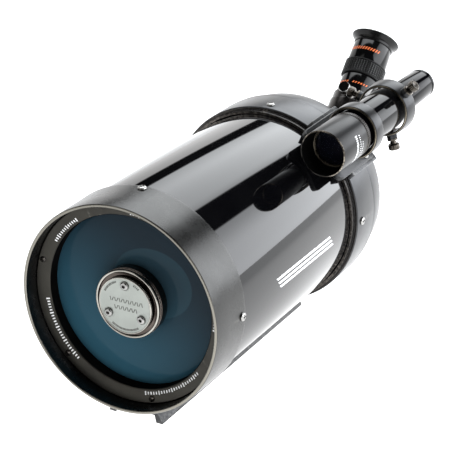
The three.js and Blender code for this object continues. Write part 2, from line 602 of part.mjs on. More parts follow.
function buildDiagonal(scope) {
  const noseFront = diagonalFront - FIT - NOSE_LENGTH;
  const noseBore = BARREL_RADIUS - BARREL_WALL;
  piece(scope, 'diagonal_nosepiece', turned([[noseBore, noseFront], [BARREL_RADIUS - 0.5, noseFront],
    [BARREL_RADIUS, noseFront + 0.5], [BARREL_RADIUS, diagonalFront - FIT], [noseBore, diagonalFront - FIT],
  ], MIDDLE), 'chrome');

  const axis = subgroup(scope, { at: [0, bendStation, 0], turn: [radians(DIAGONAL_BEND), 0, 0] });
  const entry = ring(mouthBore, 0, diagonalFront - 1, diagonalFront + 12, SMALL);
  const exit = ring(mouthBore, 0, DIAGONAL_NECK - 12, DIAGONAL_NECK + 1, SMALL);
  exit.rotateX(radians(DIAGONAL_BEND));
  exit.translate(0, bendStation, 0);
  const shell = acrossX(diagonalOutline(DIAGONAL_HALF, 0), DIAGONAL_HALF_WIDTH);
  const hollowOutline = diagonalOutline(DIAGONAL_HALF - DIAGONAL_SHELL, 4);
  const hollow = acrossX(hollowOutline, DIAGONAL_HALF_WIDTH - DIAGONAL_SHELL);
  piece(scope, 'diagonal_housing', cut(shell, hollow, entry, exit), 'satinBlack');
  piece(scope, 'diagonal_prism', acrossX(
    diagonalOutline(DIAGONAL_HALF - DIAGONAL_SHELL - 2, 9),
    DIAGONAL_HALF_WIDTH - DIAGONAL_SHELL - 2), 'clearGlass');
  return axis;
}

function buildEyepieceHolder(axis) {
  const seat = DIAGONAL_NECK + FIT;
  const top = seat + HOLDER_LENGTH;
  const step = seat + HOLDER_STEP;
  const thick = socketBore + 2.6;
  const thin = socketBore + 1.7;
  const tube = turned([[mouthBore, seat], [thick, seat], [thick, step - 0.8], [thin, step], [thin, top - 0.7],
    [thin - 0.7, top], [socketBore, top], [socketBore, seat + 2], [mouthBore, seat + 2]], MIDDLE);
  const clamp = seat + CLAMP_HEIGHT;
  const hole = radialPost(THUMB_SHANK + FIT, BARREL_RADIUS - 3, thick + 3, clamp, 0);
  piece(axis, 'eyepiece_holder', cut(tube, hole), 'satinBlack');
  const place = subgroup(axis, { at: [0, clamp, BARREL_RADIUS + FIT] });
  piece(place, 'eyepiece_thumbscrew', thumbscrew(3.5, THUMB_SHANK, THUMB_RADIUS, THUMB_LENGTH + 2), 'chrome');
  return { seat: seat + 2, top };
}

function buildEyepiece(axis, holder) {
  const barrelBore = BARREL_RADIUS - BARREL_WALL;
  const bodyFoot = holder.top + FIT;
  piece(axis, 'eyepiece_barrel', turned([[barrelBore, holder.seat + FIT], [BARREL_RADIUS, holder.seat + FIT],
    [BARREL_RADIUS, bodyFoot], [barrelBore, bodyFoot]], MIDDLE), 'chrome');

  const foot = bodyFoot + FIT;
  const gripFoot = foot + EYEPIECE_LOWER;
  const gripTop = gripFoot + GRIP_LENGTH;
  const shoulder = gripTop + EYEPIECE_UPPER;
  const top = shoulder + EYECUP_COLLAR;
  const waist = EYEPIECE_RADIUS - 0.8;
  const crown = EYEPIECE_TOP_RADIUS - 1;
  const lensBore = 10.3;
  const bore = 12.6;
  piece(axis, 'eyepiece_body', turned([
    [bore, foot], [EYEPIECE_RADIUS - 0.8, foot], [EYEPIECE_RADIUS, foot + 1], [EYEPIECE_RADIUS, gripFoot],
    [waist, gripFoot], [waist, gripTop], [EYEPIECE_RADIUS + 0.4, gripTop], [EYEPIECE_TOP_RADIUS, shoulder],
    [crown, shoulder], [crown, top], [lensBore, top], [lensBore, top - 5], [bore, top - 8],
  ], MIDDLE), 'glossBlack');
  piece(axis, 'eyepiece_grip', turned([
    [waist + FIT, gripFoot + FIT], [GRIP_RADIUS - 0.5, gripFoot + FIT], [GRIP_RADIUS, gripFoot + FIT + 0.8],
    [GRIP_RADIUS, gripTop - FIT - 0.8], [GRIP_RADIUS - 0.5, gripTop - FIT], [waist + FIT, gripTop - FIT],
  ], MIDDLE), 'rubber');
  const cupTop = top + EYECUP_FLARE;
  const collar = EYEPIECE_TOP_RADIUS + 0.5;
  piece(axis, 'eyecup', turned([
    [crown + FIT, shoulder + FIT], [collar, shoulder + FIT], [collar, top - 0.8],
    [collar + (EYECUP_RADIUS - collar) * 0.8, cupTop - EYECUP_FLARE * 0.3], [EYECUP_RADIUS, cupTop],
    [EYECUP_RADIUS - 0.9, cupTop], [crown + (EYECUP_RADIUS - crown) * 0.55, top + EYECUP_FLARE * 0.6],
    [crown + FIT, top + 0.3],
  ], MIDDLE), 'rubber');
  piece(axis, 'eye_lens', turned([[0, top - 4.4], [lensBore - FIT, top - 3.6], [lensBore - FIT, top - 1.8],
    [0, top - 0.8]], SMALL), 'clearGlass');
  piece(axis, 'field_lens', turned([[0, foot + 5], [bore - FIT, foot + 6], [bore - FIT, foot + 9],
    [0, foot + 10]], SMALL), 'clearGlass');
}

// ---------------------------------------------------------------- dovetail bar
function buildDovetail(scope) {
  const base = -AXIS_HEIGHT;
  const crest = base + BAR_HEIGHT;
  const roof = crest - BAR_WEB;
  const land = 1.3;
  const blank = alongY([
    [-BAR_HALF_WIDTH, base], [BAR_HALF_WIDTH, base], [BAR_HALF_WIDTH, base + land],
    [BAR_TOP_HALF_WIDTH, crest - 2.2], [BAR_TOP_HALF_WIDTH, crest], [-BAR_TOP_HALF_WIDTH, crest],
    [-BAR_TOP_HALF_WIDTH, crest - 2.2], [-BAR_HALF_WIDTH, base + land],
  ], BAR_LEAD, BAR_BACK);
  const open = BAR_HALF_WIDTH - BAR_FOOT;
  const padFront = BAR_MIDDLE - BAR_PAD_LENGTH / 2;
  const padBack = BAR_MIDDLE + BAR_PAD_LENGTH / 2;
  const channel = [[-open, base - 1], [open, base - 1], [open - 1.6, roof], [-open + 1.6, roof]];
  const threads = [-1, 1].map((side) => {
    const hole = post(BAR_THREAD_RADIUS, base - 1, base + 7.5, SMALL);
    hole.translate(0, BAR_MIDDLE + side * BAR_THREAD_SPACING / 2, 0);
    return hole;
  });
  const screwHoles = [barScrewFront, barScrewRear].map((station) => {
    const hole = post(SCREW_RADIUS + FIT, base - 1, crest + 1);
    hole.translate(0, station, 0);
    return hole;
  });
  piece(scope, 'dovetail_bar', cut(blank, alongY(channel, BAR_LEAD - 1, padFront),
    alongY(channel, padBack, BAR_BACK + 1), ...threads, ...screwHoles), 'powderCoat');

  const saddles = [
    ['bar_saddle_front', barScrewFront, BAR_LEAD + 1, barScrewFront + SCREW_HEAD_RADIUS - FIT, CELL_RADIUS],
    ['bar_saddle_rear', barScrewRear, barScrewRear - 6, barScrewRear + 6, REAR_RADIUS],
  ];
  saddles.forEach(([name, station, front, back, radius]) => {
    const plug = block([-SADDLE_HALF_WIDTH, SADDLE_HALF_WIDTH], [front, back], [crest + FIT, crest + 8]);
    const hollow = ring(radius + FIT, 0, station - 20, station + 20, WIDE);
    const hole = post(SCREW_RADIUS + FIT, crest - 2, crest + 12);
    hole.translate(0, station, 0);
    piece(scope, name, cut(plug, hollow, hole), 'satinBlack');
  });

  const barScrews = [
    ['bar_screw_front', barScrewFront, CELL_RADIUS - 5],
    ['bar_screw_rear', barScrewRear, REAR_RADIUS - 2.8],
  ];
  barScrews.forEach(([name, station, tip]) => {
    const place = subgroup(scope, { at: [0, station, roof - FIT], turn: [HALF_TURN, 0, 0] });
    piece(place, name, screw(SCREW_HEAD_RADIUS + 0.6, 2.4, SCREW_RADIUS, -tip - (roof - FIT)), 'chrome');
  });
}

// ---------------------------------------------------------------- finder and bracket
const finderDistance = REAR_RADIUS + PAD_RISE + FIT + FINDER_RISE;
const bracketScrewPlaces = [-1, 1].map((side) => [side * (BRACKET_HALF_WIDTH - 5), REAR_STEP + 22]);
const adjustStation = rings.rear + REAR_RING_WIDTH / 2;
const adjustTurns = [0, 120, 240];

function buildBracket(finder) {
  const plateFoot = -FINDER_RISE;
  const plateTop = plateFoot + BRACKET_PLATE;
  const front = REAR_STEP - BRACKET_REACH;
  const spine = [-SPINE_HALF_WIDTH, SPINE_HALF_WIDTH];
  const corner = 7;
  const outline = new THREE.Shape();
  outline.moveTo(-BRACKET_HALF_WIDTH, front + BRACKET_LENGTH);
  outline.lineTo(-BRACKET_HALF_WIDTH, front + corner);
  outline.absarc(-BRACKET_HALF_WIDTH + corner, front + corner, corner, HALF_TURN, HALF_TURN * 1.5, false);
  outline.absarc(BRACKET_HALF_WIDTH - corner, front + corner, corner, -HALF_TURN / 2, 0, false);
  outline.lineTo(BRACKET_HALF_WIDTH, front + BRACKET_LENGTH);
  const raised = { depth: BRACKET_PLATE, bevelEnabled: false, curveSegments: 4 };
  const plate = new THREE.ExtrudeGeometry(outline, raised);
  plate.translate(0, 0, plateFoot);
  const beam = block(spine, [rings.front, rings.end], [plateTop - 1, -RING_BORE - 0.8]);
  const hoops = [
    turned([[0, rings.front], [RING_RADIUS - 0.6, rings.front], [RING_RADIUS, rings.front + 0.6],
      [RING_RADIUS, rings.front + RING_WIDTH], [0, rings.front + RING_WIDTH]], MIDDLE),
    turned([[0, rings.rear], [RING_RADIUS - 0.6, rings.rear], [RING_RADIUS, rings.rear + 0.6],
      [RING_RADIUS + REAR_RING_FLARE, rings.end], [0, rings.end]], MIDDLE),
  ];
  const bossTop = RING_RADIUS + 3.6;
  const bosses = adjustTurns.map((turn) => radialPost(
    4, RING_BORE + 0.5, bossTop, adjustStation, turn, MIDDLE / 2));
  const tools = [
    ring(RING_BORE, 0, rings.front - 1, rings.end + 1, MIDDLE),
    ...adjustTurns.map((turn) => radialPost(
      THUMB_SHANK + FIT, RING_BORE - 3, bossTop + 2.4, adjustStation, turn)),
    ...bracketScrewPlaces.map(([across, station]) => {
      const hole = post(SCREW_RADIUS + FIT, plateFoot - 2, plateTop + 2);
      hole.translate(across, station, 0);
      return hole;
    }),
  ];
  piece(finder, 'finder_bracket', cut(joined(plate, beam, ...hoops, ...bosses), ...tools), 'powderCoat');

  bracketScrewPlaces.forEach(([across, station], index) => {
    const seat = subgroup(finder, { at: [across, station, plateTop + FIT] });
    piece(seat, `bracket_screw_${index + 1}`,
      screw(SCREW_HEAD_RADIUS, SCREW_HEAD_HEIGHT + 0.6, SCREW_RADIUS, BRACKET_PLATE + FIT + 6), 'chrome');
  });

  const band = (RING_BORE - FINDER_TUBE_RADIUS) / 2 - FIT;
  piece(finder, 'finder_o_ring', turned(
    arc([FINDER_TUBE_RADIUS + FIT + band, rings.front + RING_WIDTH / 2], band, 0, 315, 7), MIDDLE), 'rubber');

  const reach = bossTop + 1 - FINDER_TUBE_RADIUS - FIT;
  adjustTurns.forEach((turn, index) => {
    const slack = index === 0 ? 0 : 0.6;
    const place = subgroup(finder, { at: [0, adjustStation, 0], turn: [0, radians(turn), 0] });
    const seat = subgroup(place, { at: [0, 0, FINDER_TUBE_RADIUS + FIT + slack] });
    piece(seat, `finder_adjust_screw_${index + 1}`,
      thumbscrew(reach + 1, THUMB_SHANK, THUMB_RADIUS, THUMB_LENGTH), 'gunmetal');
  });
}

function buildFinder(finder) {
  const cellBack = rings.front - FINDER_CELL_GAP;
  const cellFront = cellBack - FINDER_CELL_LENGTH;
  const cellThread = FINDER_TUBE_RADIUS + FIT;
  const tubeFront = cellBack - 13;
  const lensBack = cellFront + FINDER_LENS_DEPTH + FINDER_LENS_THICKNESS;
  const bore = FINDER_APERTURE_RADIUS + FIT;
  piece(finder, 'finder_objective_cell', turned([
    [FINDER_CELL_RADIUS - 0.5, cellFront], [FINDER_CELL_RADIUS, cellFront + 0.5],
    [FINDER_CELL_RADIUS, cellBack - 0.5], [FINDER_CELL_RADIUS - 0.5, cellBack], [cellThread, cellBack],
    [cellThread, tubeFront - 1.5], [bore - 1.6, tubeFront - 1.5], [bore - 1.6, lensBack + FIT],
    [bore, lensBack + FIT], [bore, cellFront + 0.6], [bore + 0.6, cellFront],
  ], MIDDLE), 'powderCoat');
  const lensFront = lensBack - FINDER_LENS_THICKNESS;
  piece(finder, 'finder_objective_lens', turned([
    [0, lensFront], [FINDER_APERTURE_RADIUS * 0.6, lensFront + 0.5],
    [FINDER_APERTURE_RADIUS, lensFront + 1.5], [FINDER_APERTURE_RADIUS, lensBack - 1], [0, lensBack],
  ], SMALL), 'clearGlass');
  piece(finder, 'finder_lens_ring', ring(FINDER_APERTURE_RADIUS, FINDER_APERTURE_RADIUS - 2,
    lensFront - FIT - 1.6, lensFront - FIT + 0.4, SMALL), 'satinBlack');

  const tubeBack = rings.end + FINDER_TUBE_TAIL;
  const tubeBore = FINDER_TUBE_RADIUS - FINDER_TUBE_WALL;
  const eyeSocket = FINDER_EYE_RADIUS + FIT;
  piece(finder, 'finder_tube', turned([
    [tubeBore, tubeFront], [FINDER_TUBE_RADIUS, tubeFront], [FINDER_TUBE_RADIUS, tubeBack - 2.5],
    [FINDER_EYE_RADIUS + 2, tubeBack], [eyeSocket, tubeBack], [eyeSocket, tubeBack - 14],
    [tubeBore, tubeBack - 17],
  ], MIDDLE), 'glossBlack');
  piece(finder, 'finder_lock_ring', turned([
    [cellThread, cellBack + FIT], [FINDER_CELL_RADIUS - 0.2, cellBack + FIT],
    [FINDER_CELL_RADIUS - 0.2, cellBack + FIT + LOCK_RING_LENGTH],
    [cellThread, cellBack + FIT + LOCK_RING_LENGTH],
  ], MIDDLE), 'satinBlack');

  const eyeBack = tubeBack + FINDER_EYE_LENGTH;
  const eyeBore = FINDER_EYE_RADIUS - 1.5;
  piece(finder, 'finder_eyepiece_tube', turned([
    [eyeBore, tubeBack - 13], [FINDER_EYE_RADIUS, tubeBack - 13], [FINDER_EYE_RADIUS, eyeBack - 2],
    [FINDER_EYE_RADIUS - 0.6, eyeBack - 0.6], [FINDER_EYE_RADIUS - 2, eyeBack], [7, eyeBack],
    [7, eyeBack - 2.4], [eyeBore, eyeBack - 2.4],
  ], SMALL), 'glossBlack');
  piece(finder, 'finder_eye_lens', turned([[0, eyeBack - 6.8], [eyeBore - FIT, eyeBack - 5.8],
    [eyeBore - FIT, eyeBack - 3.2], [0, eyeBack - 2.6]], SMALL), 'clearGlass');
}

// ---------------------------------------------------------------- assembly
const telescope = new THREE.Group();
const scope = subgroup(telescope, { at: [0, -BAR_MIDDLE, AXIS_HEIGHT] });
buildFrontCell(scope);
buildSecondary(scope);
buildTube(scope);
buildCellScrews(scope);
buildRearCell(scope);
buildFocuser(scope);
buildVisualBack(scope);
const eyepieceAxis = buildDiagonal(scope);
const holder = buildEyepieceHolder(eyepieceAxis);
buildEyepiece(eyepieceAxis, holder);
buildDovetail(scope);
const lean = radians(FINDER_ANGLE);
const finder = subgroup(scope, {
  at: [finderDistance * Math.sin(lean), 0, finderDistance * Math.cos(lean)],
  turn: [0, lean, 0],
});
buildBracket(finder);
buildFinder(finder);

export default telescope;
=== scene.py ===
"""Looks for a short-tube compound telescope with its finder, 45 degree diagonal and eyepiece.

Every sub-assembly is a class. Its sizes are dataclass fields in millimetres, in a local frame whose
Y runs along the piece's own axis, and its methods make the meshes and dress them. Stations along the
tube are counted from the front rim.
"""

from __future__ import annotations

import logging
import math
from dataclasses import dataclass, field
from enum import Enum
from typing import Any, Callable, ClassVar, Iterable, Sequence

import bmesh
import bpy
from mathutils import Matrix, Vector


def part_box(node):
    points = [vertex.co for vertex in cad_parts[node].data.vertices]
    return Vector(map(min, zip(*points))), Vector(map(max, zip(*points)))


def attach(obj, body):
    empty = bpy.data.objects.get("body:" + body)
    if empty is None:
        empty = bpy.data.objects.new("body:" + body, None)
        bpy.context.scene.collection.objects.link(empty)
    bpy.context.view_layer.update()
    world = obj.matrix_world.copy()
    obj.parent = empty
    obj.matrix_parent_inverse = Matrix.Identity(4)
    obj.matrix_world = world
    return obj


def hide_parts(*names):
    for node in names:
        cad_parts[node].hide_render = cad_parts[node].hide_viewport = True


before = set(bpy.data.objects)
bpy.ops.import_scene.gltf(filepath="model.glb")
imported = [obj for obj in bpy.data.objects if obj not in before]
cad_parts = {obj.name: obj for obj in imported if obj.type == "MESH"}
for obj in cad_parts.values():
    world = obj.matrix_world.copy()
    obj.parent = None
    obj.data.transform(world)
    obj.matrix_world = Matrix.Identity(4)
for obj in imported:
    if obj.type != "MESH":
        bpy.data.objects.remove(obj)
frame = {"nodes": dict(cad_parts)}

LOG = logging.getLogger("telescope")
MM = 0.001
TOUCH = 1e-6
SHARP = math.radians(34)

Outline = Sequence[tuple[float, float]]
Span = tuple[float, float]
Colour = tuple[float, float, float]
Ripple = Callable[[float, float, float], float]


# ------------------------------------------------------------------------------ shader maths
class Tap:
    """One output of a shader node, on which Python's operators add Math nodes."""

    def __init__(self, shader: "Shader", socket: bpy.types.NodeSocket) -> None:
        """Keeps the node tree's wrapper and the socket.

        Args:
            shader: the wrapper that adds nodes.
            socket: the output that carries the value.
        """
        self.shader = shader
        self.socket = socket

    def _math(self, operation: str, first: "Tap | float", second: "Tap | float") -> "Tap":
        """Adds a Math node.

        Args:
            operation: the Math node's operation.
            first: its first value.
            second: its second value.

        Returns:
            The node's result.
        """
        return self.shader.node("ShaderNodeMath", {"operation": operation}, {0: first, 1: second}).tap(0)

    def __add__(self, other: "Tap | float") -> "Tap":
        """self + other."""
        return self._math("ADD", self, other)

    def __radd__(self, other: float) -> "Tap":
        """other + self."""
        return self._math("ADD", other, self)

    def __sub__(self, other: "Tap | float") -> "Tap":
        """self - other."""
        return self._math("SUBTRACT", self, other)

    def __rsub__(self, other: float) -> "Tap":
        """other - self."""
        return self._math("SUBTRACT", other, self)

    def __mul__(self, other: "Tap | float") -> "Tap":
        """self * other."""
        return self._math("MULTIPLY", self, other)

    def __rmul__(self, other: float) -> "Tap":
        """other * self."""
        return self._math("MULTIPLY", other, self)

    def __truediv__(self, other: "Tap | float") -> "Tap":
        """self / other."""
        return self._math("DIVIDE", self, other)

    def __pow__(self, other: "Tap | float") -> "Tap":
        """self raised to other."""
        return self._math("POWER", self, other)

    def atan2(self, other: "Tap") -> "Tap":
        """The angle whose tangent is self over other, in radians."""
        return self._math("ARCTAN2", self, other)

    def sine(self) -> "Tap":
        """The sine of self."""
        return self._math("SINE", self, 0.0)

    def least(self, other: "Tap | float") -> "Tap":
        """The smaller of self and other."""
        return self._math("MINIMUM", self, other)

    def most(self, other: "Tap | float") -> "Tap":
        """The larger of self and other."""
        return self._math("MAXIMUM", self, other)

    def rise(self, low: float, high: float) -> "Tap":
        """A smooth step from 0 at low to 1 at high.

        Args:
            low: where the step starts.
            high: where it ends.

        Returns:
            The step's value.
        """
        settings = {"interpolation_type": "SMOOTHSTEP"}
        sockets = {"Value": self, "From Min": low, "From Max": high}
        return self.shader.node("ShaderNodeMapRange", settings, sockets).tap("Result")

    def within(self, low: float, high: float, edge: float) -> "Tap":
        """1 between low and high and 0 outside, with soft edges.

        Args:
            low: the lower end.
            high: the upper end.
            edge: half the width of each soft edge.

        Returns:
            The band's mask.
        """
        return self.rise(low - edge, low + edge) * (1.0 - self.rise(high - edge, high + edge))


class Node:
    """A shader node that was just added."""

    def __init__(self, shader: "Shader", node: bpy.types.Node) -> None:
        """Keeps the wrapper and the node."""
        self.shader = shader
        self.node = node

    def tap(self, output: int | str = 0) -> Tap:
        """One of its outputs."""
        return Tap(self.shader, self.node.outputs[output])


class Shader:
    """A node tree that is filled from Python expressions."""

    def __init__(self, tree: bpy.types.NodeTree) -> None:
        """Empties the tree and keeps it.

        Args:
            tree: the material's or the world's node tree.
        """
        self.tree = tree
        tree.nodes.clear()

    def node(self, kind: str, settings: dict[str, Any] | None = None,
             sockets: dict[int | str, Any] | None = None) -> Node:
        """Adds any node.

        Args:
            kind: the node's type.
            settings: its properties, set first; "stops" are a ramp's (place, colour) pairs.
            sockets: values or links for its inputs.

        Returns:
            The added node.
        """
        node = self.tree.nodes.new(kind)
        for name, value in (settings or {}).items():
            if name == "stops":
                ramp = node.color_ramp.elements
                while len(ramp) < len(value):
                    ramp.new(0.5)
                for element, (place, colour) in zip(ramp, value):
                    element.position = place
                    element.color = (*colour, 1.0)
            else:
                setattr(node, name, value)
        for name, value in (sockets or {}).items():
            if isinstance(value, Tap):
                self.tree.links.new(value.socket, node.inputs[name])
            elif isinstance(value, tuple) and len(value) == 3 and node.inputs[name].type == "RGBA":
                node.inputs[name].default_value = (*value, 1.0)
            else:
                node.inputs[name].default_value = value
        return Node(self, node)

    def place(self) -> Tap:
        """The point in the piece's own frame, in metres."""
        return self.node("ShaderNodeTexCoord").tap("Object")

    def split(self, vector: Tap) -> tuple[Tap, Tap, Tap]:
        """The three parts of a vector."""
        parts = self.node("ShaderNodeSeparateXYZ", sockets={0: vector})
        return parts.tap(0), parts.tap(1), parts.tap(2)

    def gather(self, x: Tap | float, y: Tap | float, z: Tap | float) -> Tap:
        """A vector from three values."""
        return self.node("ShaderNodeCombineXYZ", sockets={0: x, 1: y, 2: z}).tap(0)

    def noise(self, vector: Tap, scale: float, detail: float = 2.0, rough: float = 0.5) -> Tap:
        """A noise from 0 to 1.

        Args:
            vector: where it is read.
            scale: how many patches to a unit of the vector.
            detail: how many finer layers it has.
            rough: how strong those are.

        Returns:
            The noise's value.
        """
        sockets = {"Vector": vector, "Scale": scale, "Detail": detail, "Roughness": rough}
        return self.node("ShaderNodeTexNoise", sockets=sockets).tap(0)

    def mix(self, share: Tap | float, first: Tap | Colour, second: Tap | Colour) -> Tap:
        """Blends two colours.

        Args:
            share: how much of the second there is.
            first: the colour at 0.
            second: the colour at 1.

        Returns:
            The blended colour.
        """
        node = self.tree.nodes.new("ShaderNodeMix")
        node.data_type = "RGBA"
        wires = {0: share, 6: first, 7: second}
        for index, value in wires.items():
            if isinstance(value, Tap):
                self.tree.links.new(value.socket, node.inputs[index])
            elif index:
                node.inputs[index].default_value = (*value, 1.0)
            else:
                node.inputs[index].default_value = value
        return Tap(self, node.outputs[2])

    def bump(self, height: Tap, strength: float, distance: float) -> Tap:
        """A bumped normal.

        Args:
            height: the surface's height from 0 to 1.
            strength: how much it shows.
            distance: the height of 1, in metres.

        Returns:
            The normal.
        """
        sockets = {"Height": height, "Strength": strength, "Distance": distance}
        return self.node("ShaderNodeBump", sockets=sockets).tap(0)


# ------------------------------------------------------------------------------ finishes
class Slot(Enum):
    """The record's material slots."""

    POWDER_COAT = "powder_coat"
    RING_COAT = "ring_coat"
    TUBE_GLOSS = "tube_gloss"
    ANODISED = "anodised_black"
    MOULDED = "moulded_black"
    EYEPIECE_GLOSS = "eyepiece_gloss"
    COATED_GLASS = "coated_glass"
    LENS_GLASS = "lens_glass"
    MIRROR = "mirror_coat"
    FACE_PLATE = "face_plate"
    CHROME = "chrome"
    GUNMETAL = "gunmetal"
    RUBBER = "rubber"


class Marks(Enum):
    """What the tool or the coating leaves on a surface."""

    PEEL = "orange peel of a sprayed or powdered coat"
    LATHE = "fine rings from turning"
    BLAST = "even grain from blasting or moulding"


@dataclass(frozen=True)
class Finish:
    """A surface finish: its colours, its sheen and the marks on it."""

    label: str
    slot: Slot
    colour: Colour
    patch_colour: Colour
    roughness: float
    marks: Marks = Marks.BLAST
    unevenness: float = 0.08
    metallic: float = 0.0
    coat: float = 0.0
    coat_roughness: float = 0.03
    opacity: float = 1.0
    refraction: float = 1.5
    patches: float = 45.0
    grain: float = 1400.0
    relief: float = 0.12
    relief_depth: float = 0.00008
    worn: Colour | None = None
    made: ClassVar[dict[str, bpy.types.Material]] = {}

    def colours(self, shader: Shader, place: Tap) -> Tap:
        """The base colour: two tones in soft patches, paler where edges are worn.

        Args:
            shader: the material's nodes.
            place: the point on the piece.

        Returns:
            The colour.
        """
        tone = shader.mix(shader.noise(place, self.patches, 4.0, 0.6).rise(0.3, 0.7), self.colour,
                          self.patch_colour)
        if self.worn is None:
            return tone
        edge = shader.node("ShaderNodeNewGeometry").tap("Pointiness").rise(0.52, 0.60)
        scuffs = shader.noise(place, self.patches * 12, 3.0).rise(0.35, 0.75)
        return shader.mix(edge * scuffs, tone, self.worn)

    def texture(self, shader: Shader, place: Tap) -> Tap:
        """The height of the surface's marks from 0 to 1.

        Args:
            shader: the material's nodes.
            place: the point on the piece.

        Returns:
            The height.
        """
        if self.marks is Marks.LATHE:
            x, along, z = shader.split(place)
            radius = (x * x + z * z) ** 0.5
            return shader.noise(shader.gather(radius, along, 0.0), self.grain, 2.0)
        if self.marks is Marks.PEEL:
            return shader.noise(place, self.grain, 1.0, 0.3)
        return shader.noise(place, self.grain, 3.0, 0.65)

    def material(self) -> bpy.types.Material:
        """Makes the material once.

        Returns:
            The material.
        """
        if self.label in Finish.made:
            return Finish.made[self.label]
        material = bpy.data.materials.new(self.label)
        material.use_nodes = True
        shader = Shader(material.node_tree)
        place = shader.place()
        marks = self.texture(shader, place)
        smears = shader.noise(place, self.patches * 2.5, 3.0)
        uneven = (smears - 0.5) * (2 * self.unevenness) + (marks - 0.5) * self.unevenness
        surface = {
            "Base Color": self.colours(shader, place),
            "Roughness": (uneven + self.roughness).most(0.02).least(1.0),
            "Metallic": self.metallic,
            "IOR": self.refraction,
            "Coat Weight": self.coat,
            "Coat Roughness": self.coat_roughness,
            "Alpha": self.opacity,
            "Normal": shader.bump(marks, self.relief, self.relief_depth),
        }
        body = shader.node("ShaderNodeBsdfPrincipled", sockets=surface).tap(0)
        shader.node("ShaderNodeOutputMaterial", sockets={"Surface": body})
        Finish.made[self.label] = material
        return material


@dataclass(frozen=True)
class PowderCoat(Finish):
    """A metallic powder coat with a pale line along its turned front rim: a painted highlight where the rim catches
    the light.
    """

    rim: Colour = (0.2, 0.19, 0.165)
    rim_highlight_end: float = 0.0006

    def colours(self, shader: Shader, place: Tap) -> Tap:
        """The coat's colour, with the pale line along the front rim painted on as a highlight."""
        _, along, _ = shader.split(place)
        # Painted highlight: the pale rim colour fills a thin band at the front edge and stands in for the light
        # caught by the rounded rim.
        rim_highlight = 1.0 - along.rise(self.rim_highlight_end * 0.55, self.rim_highlight_end)
        return shader.mix(rim_highlight, super().colours(shader, place), self.rim)


@dataclass(frozen=True)
class CoatedGlass(Finish):
    """The corrector's coating: a blue veil with painted shading that makes it deepest at the lower left, and a
    painted pale reflection of a lens (a ghost image).
    """

    slate: Colour = (0.0115, 0.02, 0.028)
    half_width: float = 0.0675

    def colours(self, shader: Shader, place: Tap) -> Tap:
        """A slow painted-shading drift from slate at the upper right to blue at the lower left, with the painted
        ghost reflection on top.
        """
        x, _, z = shader.split(place)
        # Painted shading: the veil's colour drifts across the glass with the fall of the light, slate at the upper
        # right and blue at the lower left.
        painted_shade_drift = ((x * 0.55 + z * 0.83) / self.half_width).rise(-0.95, 0.7)
        tone = shader.mix(painted_shade_drift, self.colour, self.slate)
        # Painted reflection: a pale ellipse in the patch colour stands for a ghost image of a lens reflected in the
        # glass.
        ghost_reflection_x = (x - 0.0135) / 0.0315
        ghost_reflection_z = (z - 0.014) / 0.026
        edge = ghost_reflection_x * ghost_reflection_x + ghost_reflection_z * ghost_reflection_z
        ghost_reflection = (1.0 - edge.rise(0.92, 1.0)) * edge.rise(-0.4, 1.0)
        return shader.mix(ghost_reflection * 0.22, tone, self.patch_colour)


POWDER_COAT = Finish("powder_coat", Slot.POWDER_COAT, (0.051, 0.052, 0.0545), (0.043, 0.044, 0.0458), 0.31,
                     Marks.PEEL, 0.05, metallic=1.0, grain=2300.0, relief=0.22, worn=(0.2, 0.2, 0.195))
CELL_COAT = PowderCoat("cell_coat", Slot.POWDER_COAT, (0.053, 0.053, 0.0522), (0.045, 0.045, 0.0442), 0.28,
                       Marks.PEEL, 0.05, metallic=1.0, grain=2300.0, relief=0.22, worn=(0.2, 0.195, 0.18))
RING_COAT = Finish("ring_coat", Slot.RING_COAT, (0.036, 0.034, 0.029), (0.028, 0.0266, 0.023), 0.38,
                   Marks.PEEL, 0.05, metallic=0.9, grain=2600.0, relief=0.2, worn=(0.16, 0.155, 0.135))
BRACKET_COAT = Finish("bracket_coat", Slot.POWDER_COAT, (0.034, 0.0347, 0.036), (0.026, 0.0266, 0.028), 0.3,
                      Marks.PEEL, 0.05, metallic=1.0, grain=2300.0, relief=0.22, worn=(0.13, 0.13, 0.125))
FINDER_SATIN = Finish("finder_satin", Slot.POWDER_COAT, (0.012, 0.012, 0.0125), (0.009, 0.009, 0.0094), 0.3,
                      Marks.LATHE, 0.04, refraction=1.24, grain=4200.0, relief=0.04, worn=(0.12, 0.118, 0.11))
TUBE_GLOSS = Finish("tube_gloss", Slot.TUBE_GLOSS, (0.0012, 0.0012, 0.0016), (0.0018, 0.0018, 0.0022), 0.045,
                    Marks.PEEL, 0.012, grain=260.0, relief=0.02)
FINDER_GLOSS = Finish("finder_gloss", Slot.TUBE_GLOSS, (0.0012, 0.0012, 0.0016), (0.0018, 0.0018, 0.0022),
                      0.05,
                      Marks.PEEL, 0.012, refraction=1.26, grain=260.0, relief=0.02)
EYE_TUBE_GLOSS = Finish("eye_tube_gloss", Slot.TUBE_GLOSS, (0.0012, 0.0012, 0.0018),
                        (0.0018, 0.0018, 0.0024), 0.06,
                        Marks.PEEL, 0.012, refraction=1.15, grain=260.0, relief=0.02)
ANODISED = Finish("anodised_black", Slot.ANODISED, (0.02, 0.018, 0.017), (0.028, 0.025, 0.023), 0.26,
                  Marks.LATHE, 0.07, metallic=0.8, grain=5200.0, relief=0.12, worn=(0.2, 0.18, 0.16))
HOUSING_BLACK = Finish("housing_black", Slot.ANODISED, (0.09, 0.075, 0.066), (0.065, 0.054, 0.048), 0.2,
                       Marks.LATHE, 0.08, metallic=1.0, grain=5200.0, relief=0.16, worn=(0.3, 0.27, 0.24))
MOULDED = Finish("moulded_black", Slot.MOULDED, (0.008, 0.008, 0.009), (0.013, 0.013, 0.013), 0.34,
                 Marks.BLAST, 0.08, grain=3000.0, relief=0.22, worn=(0.04, 0.04, 0.04))
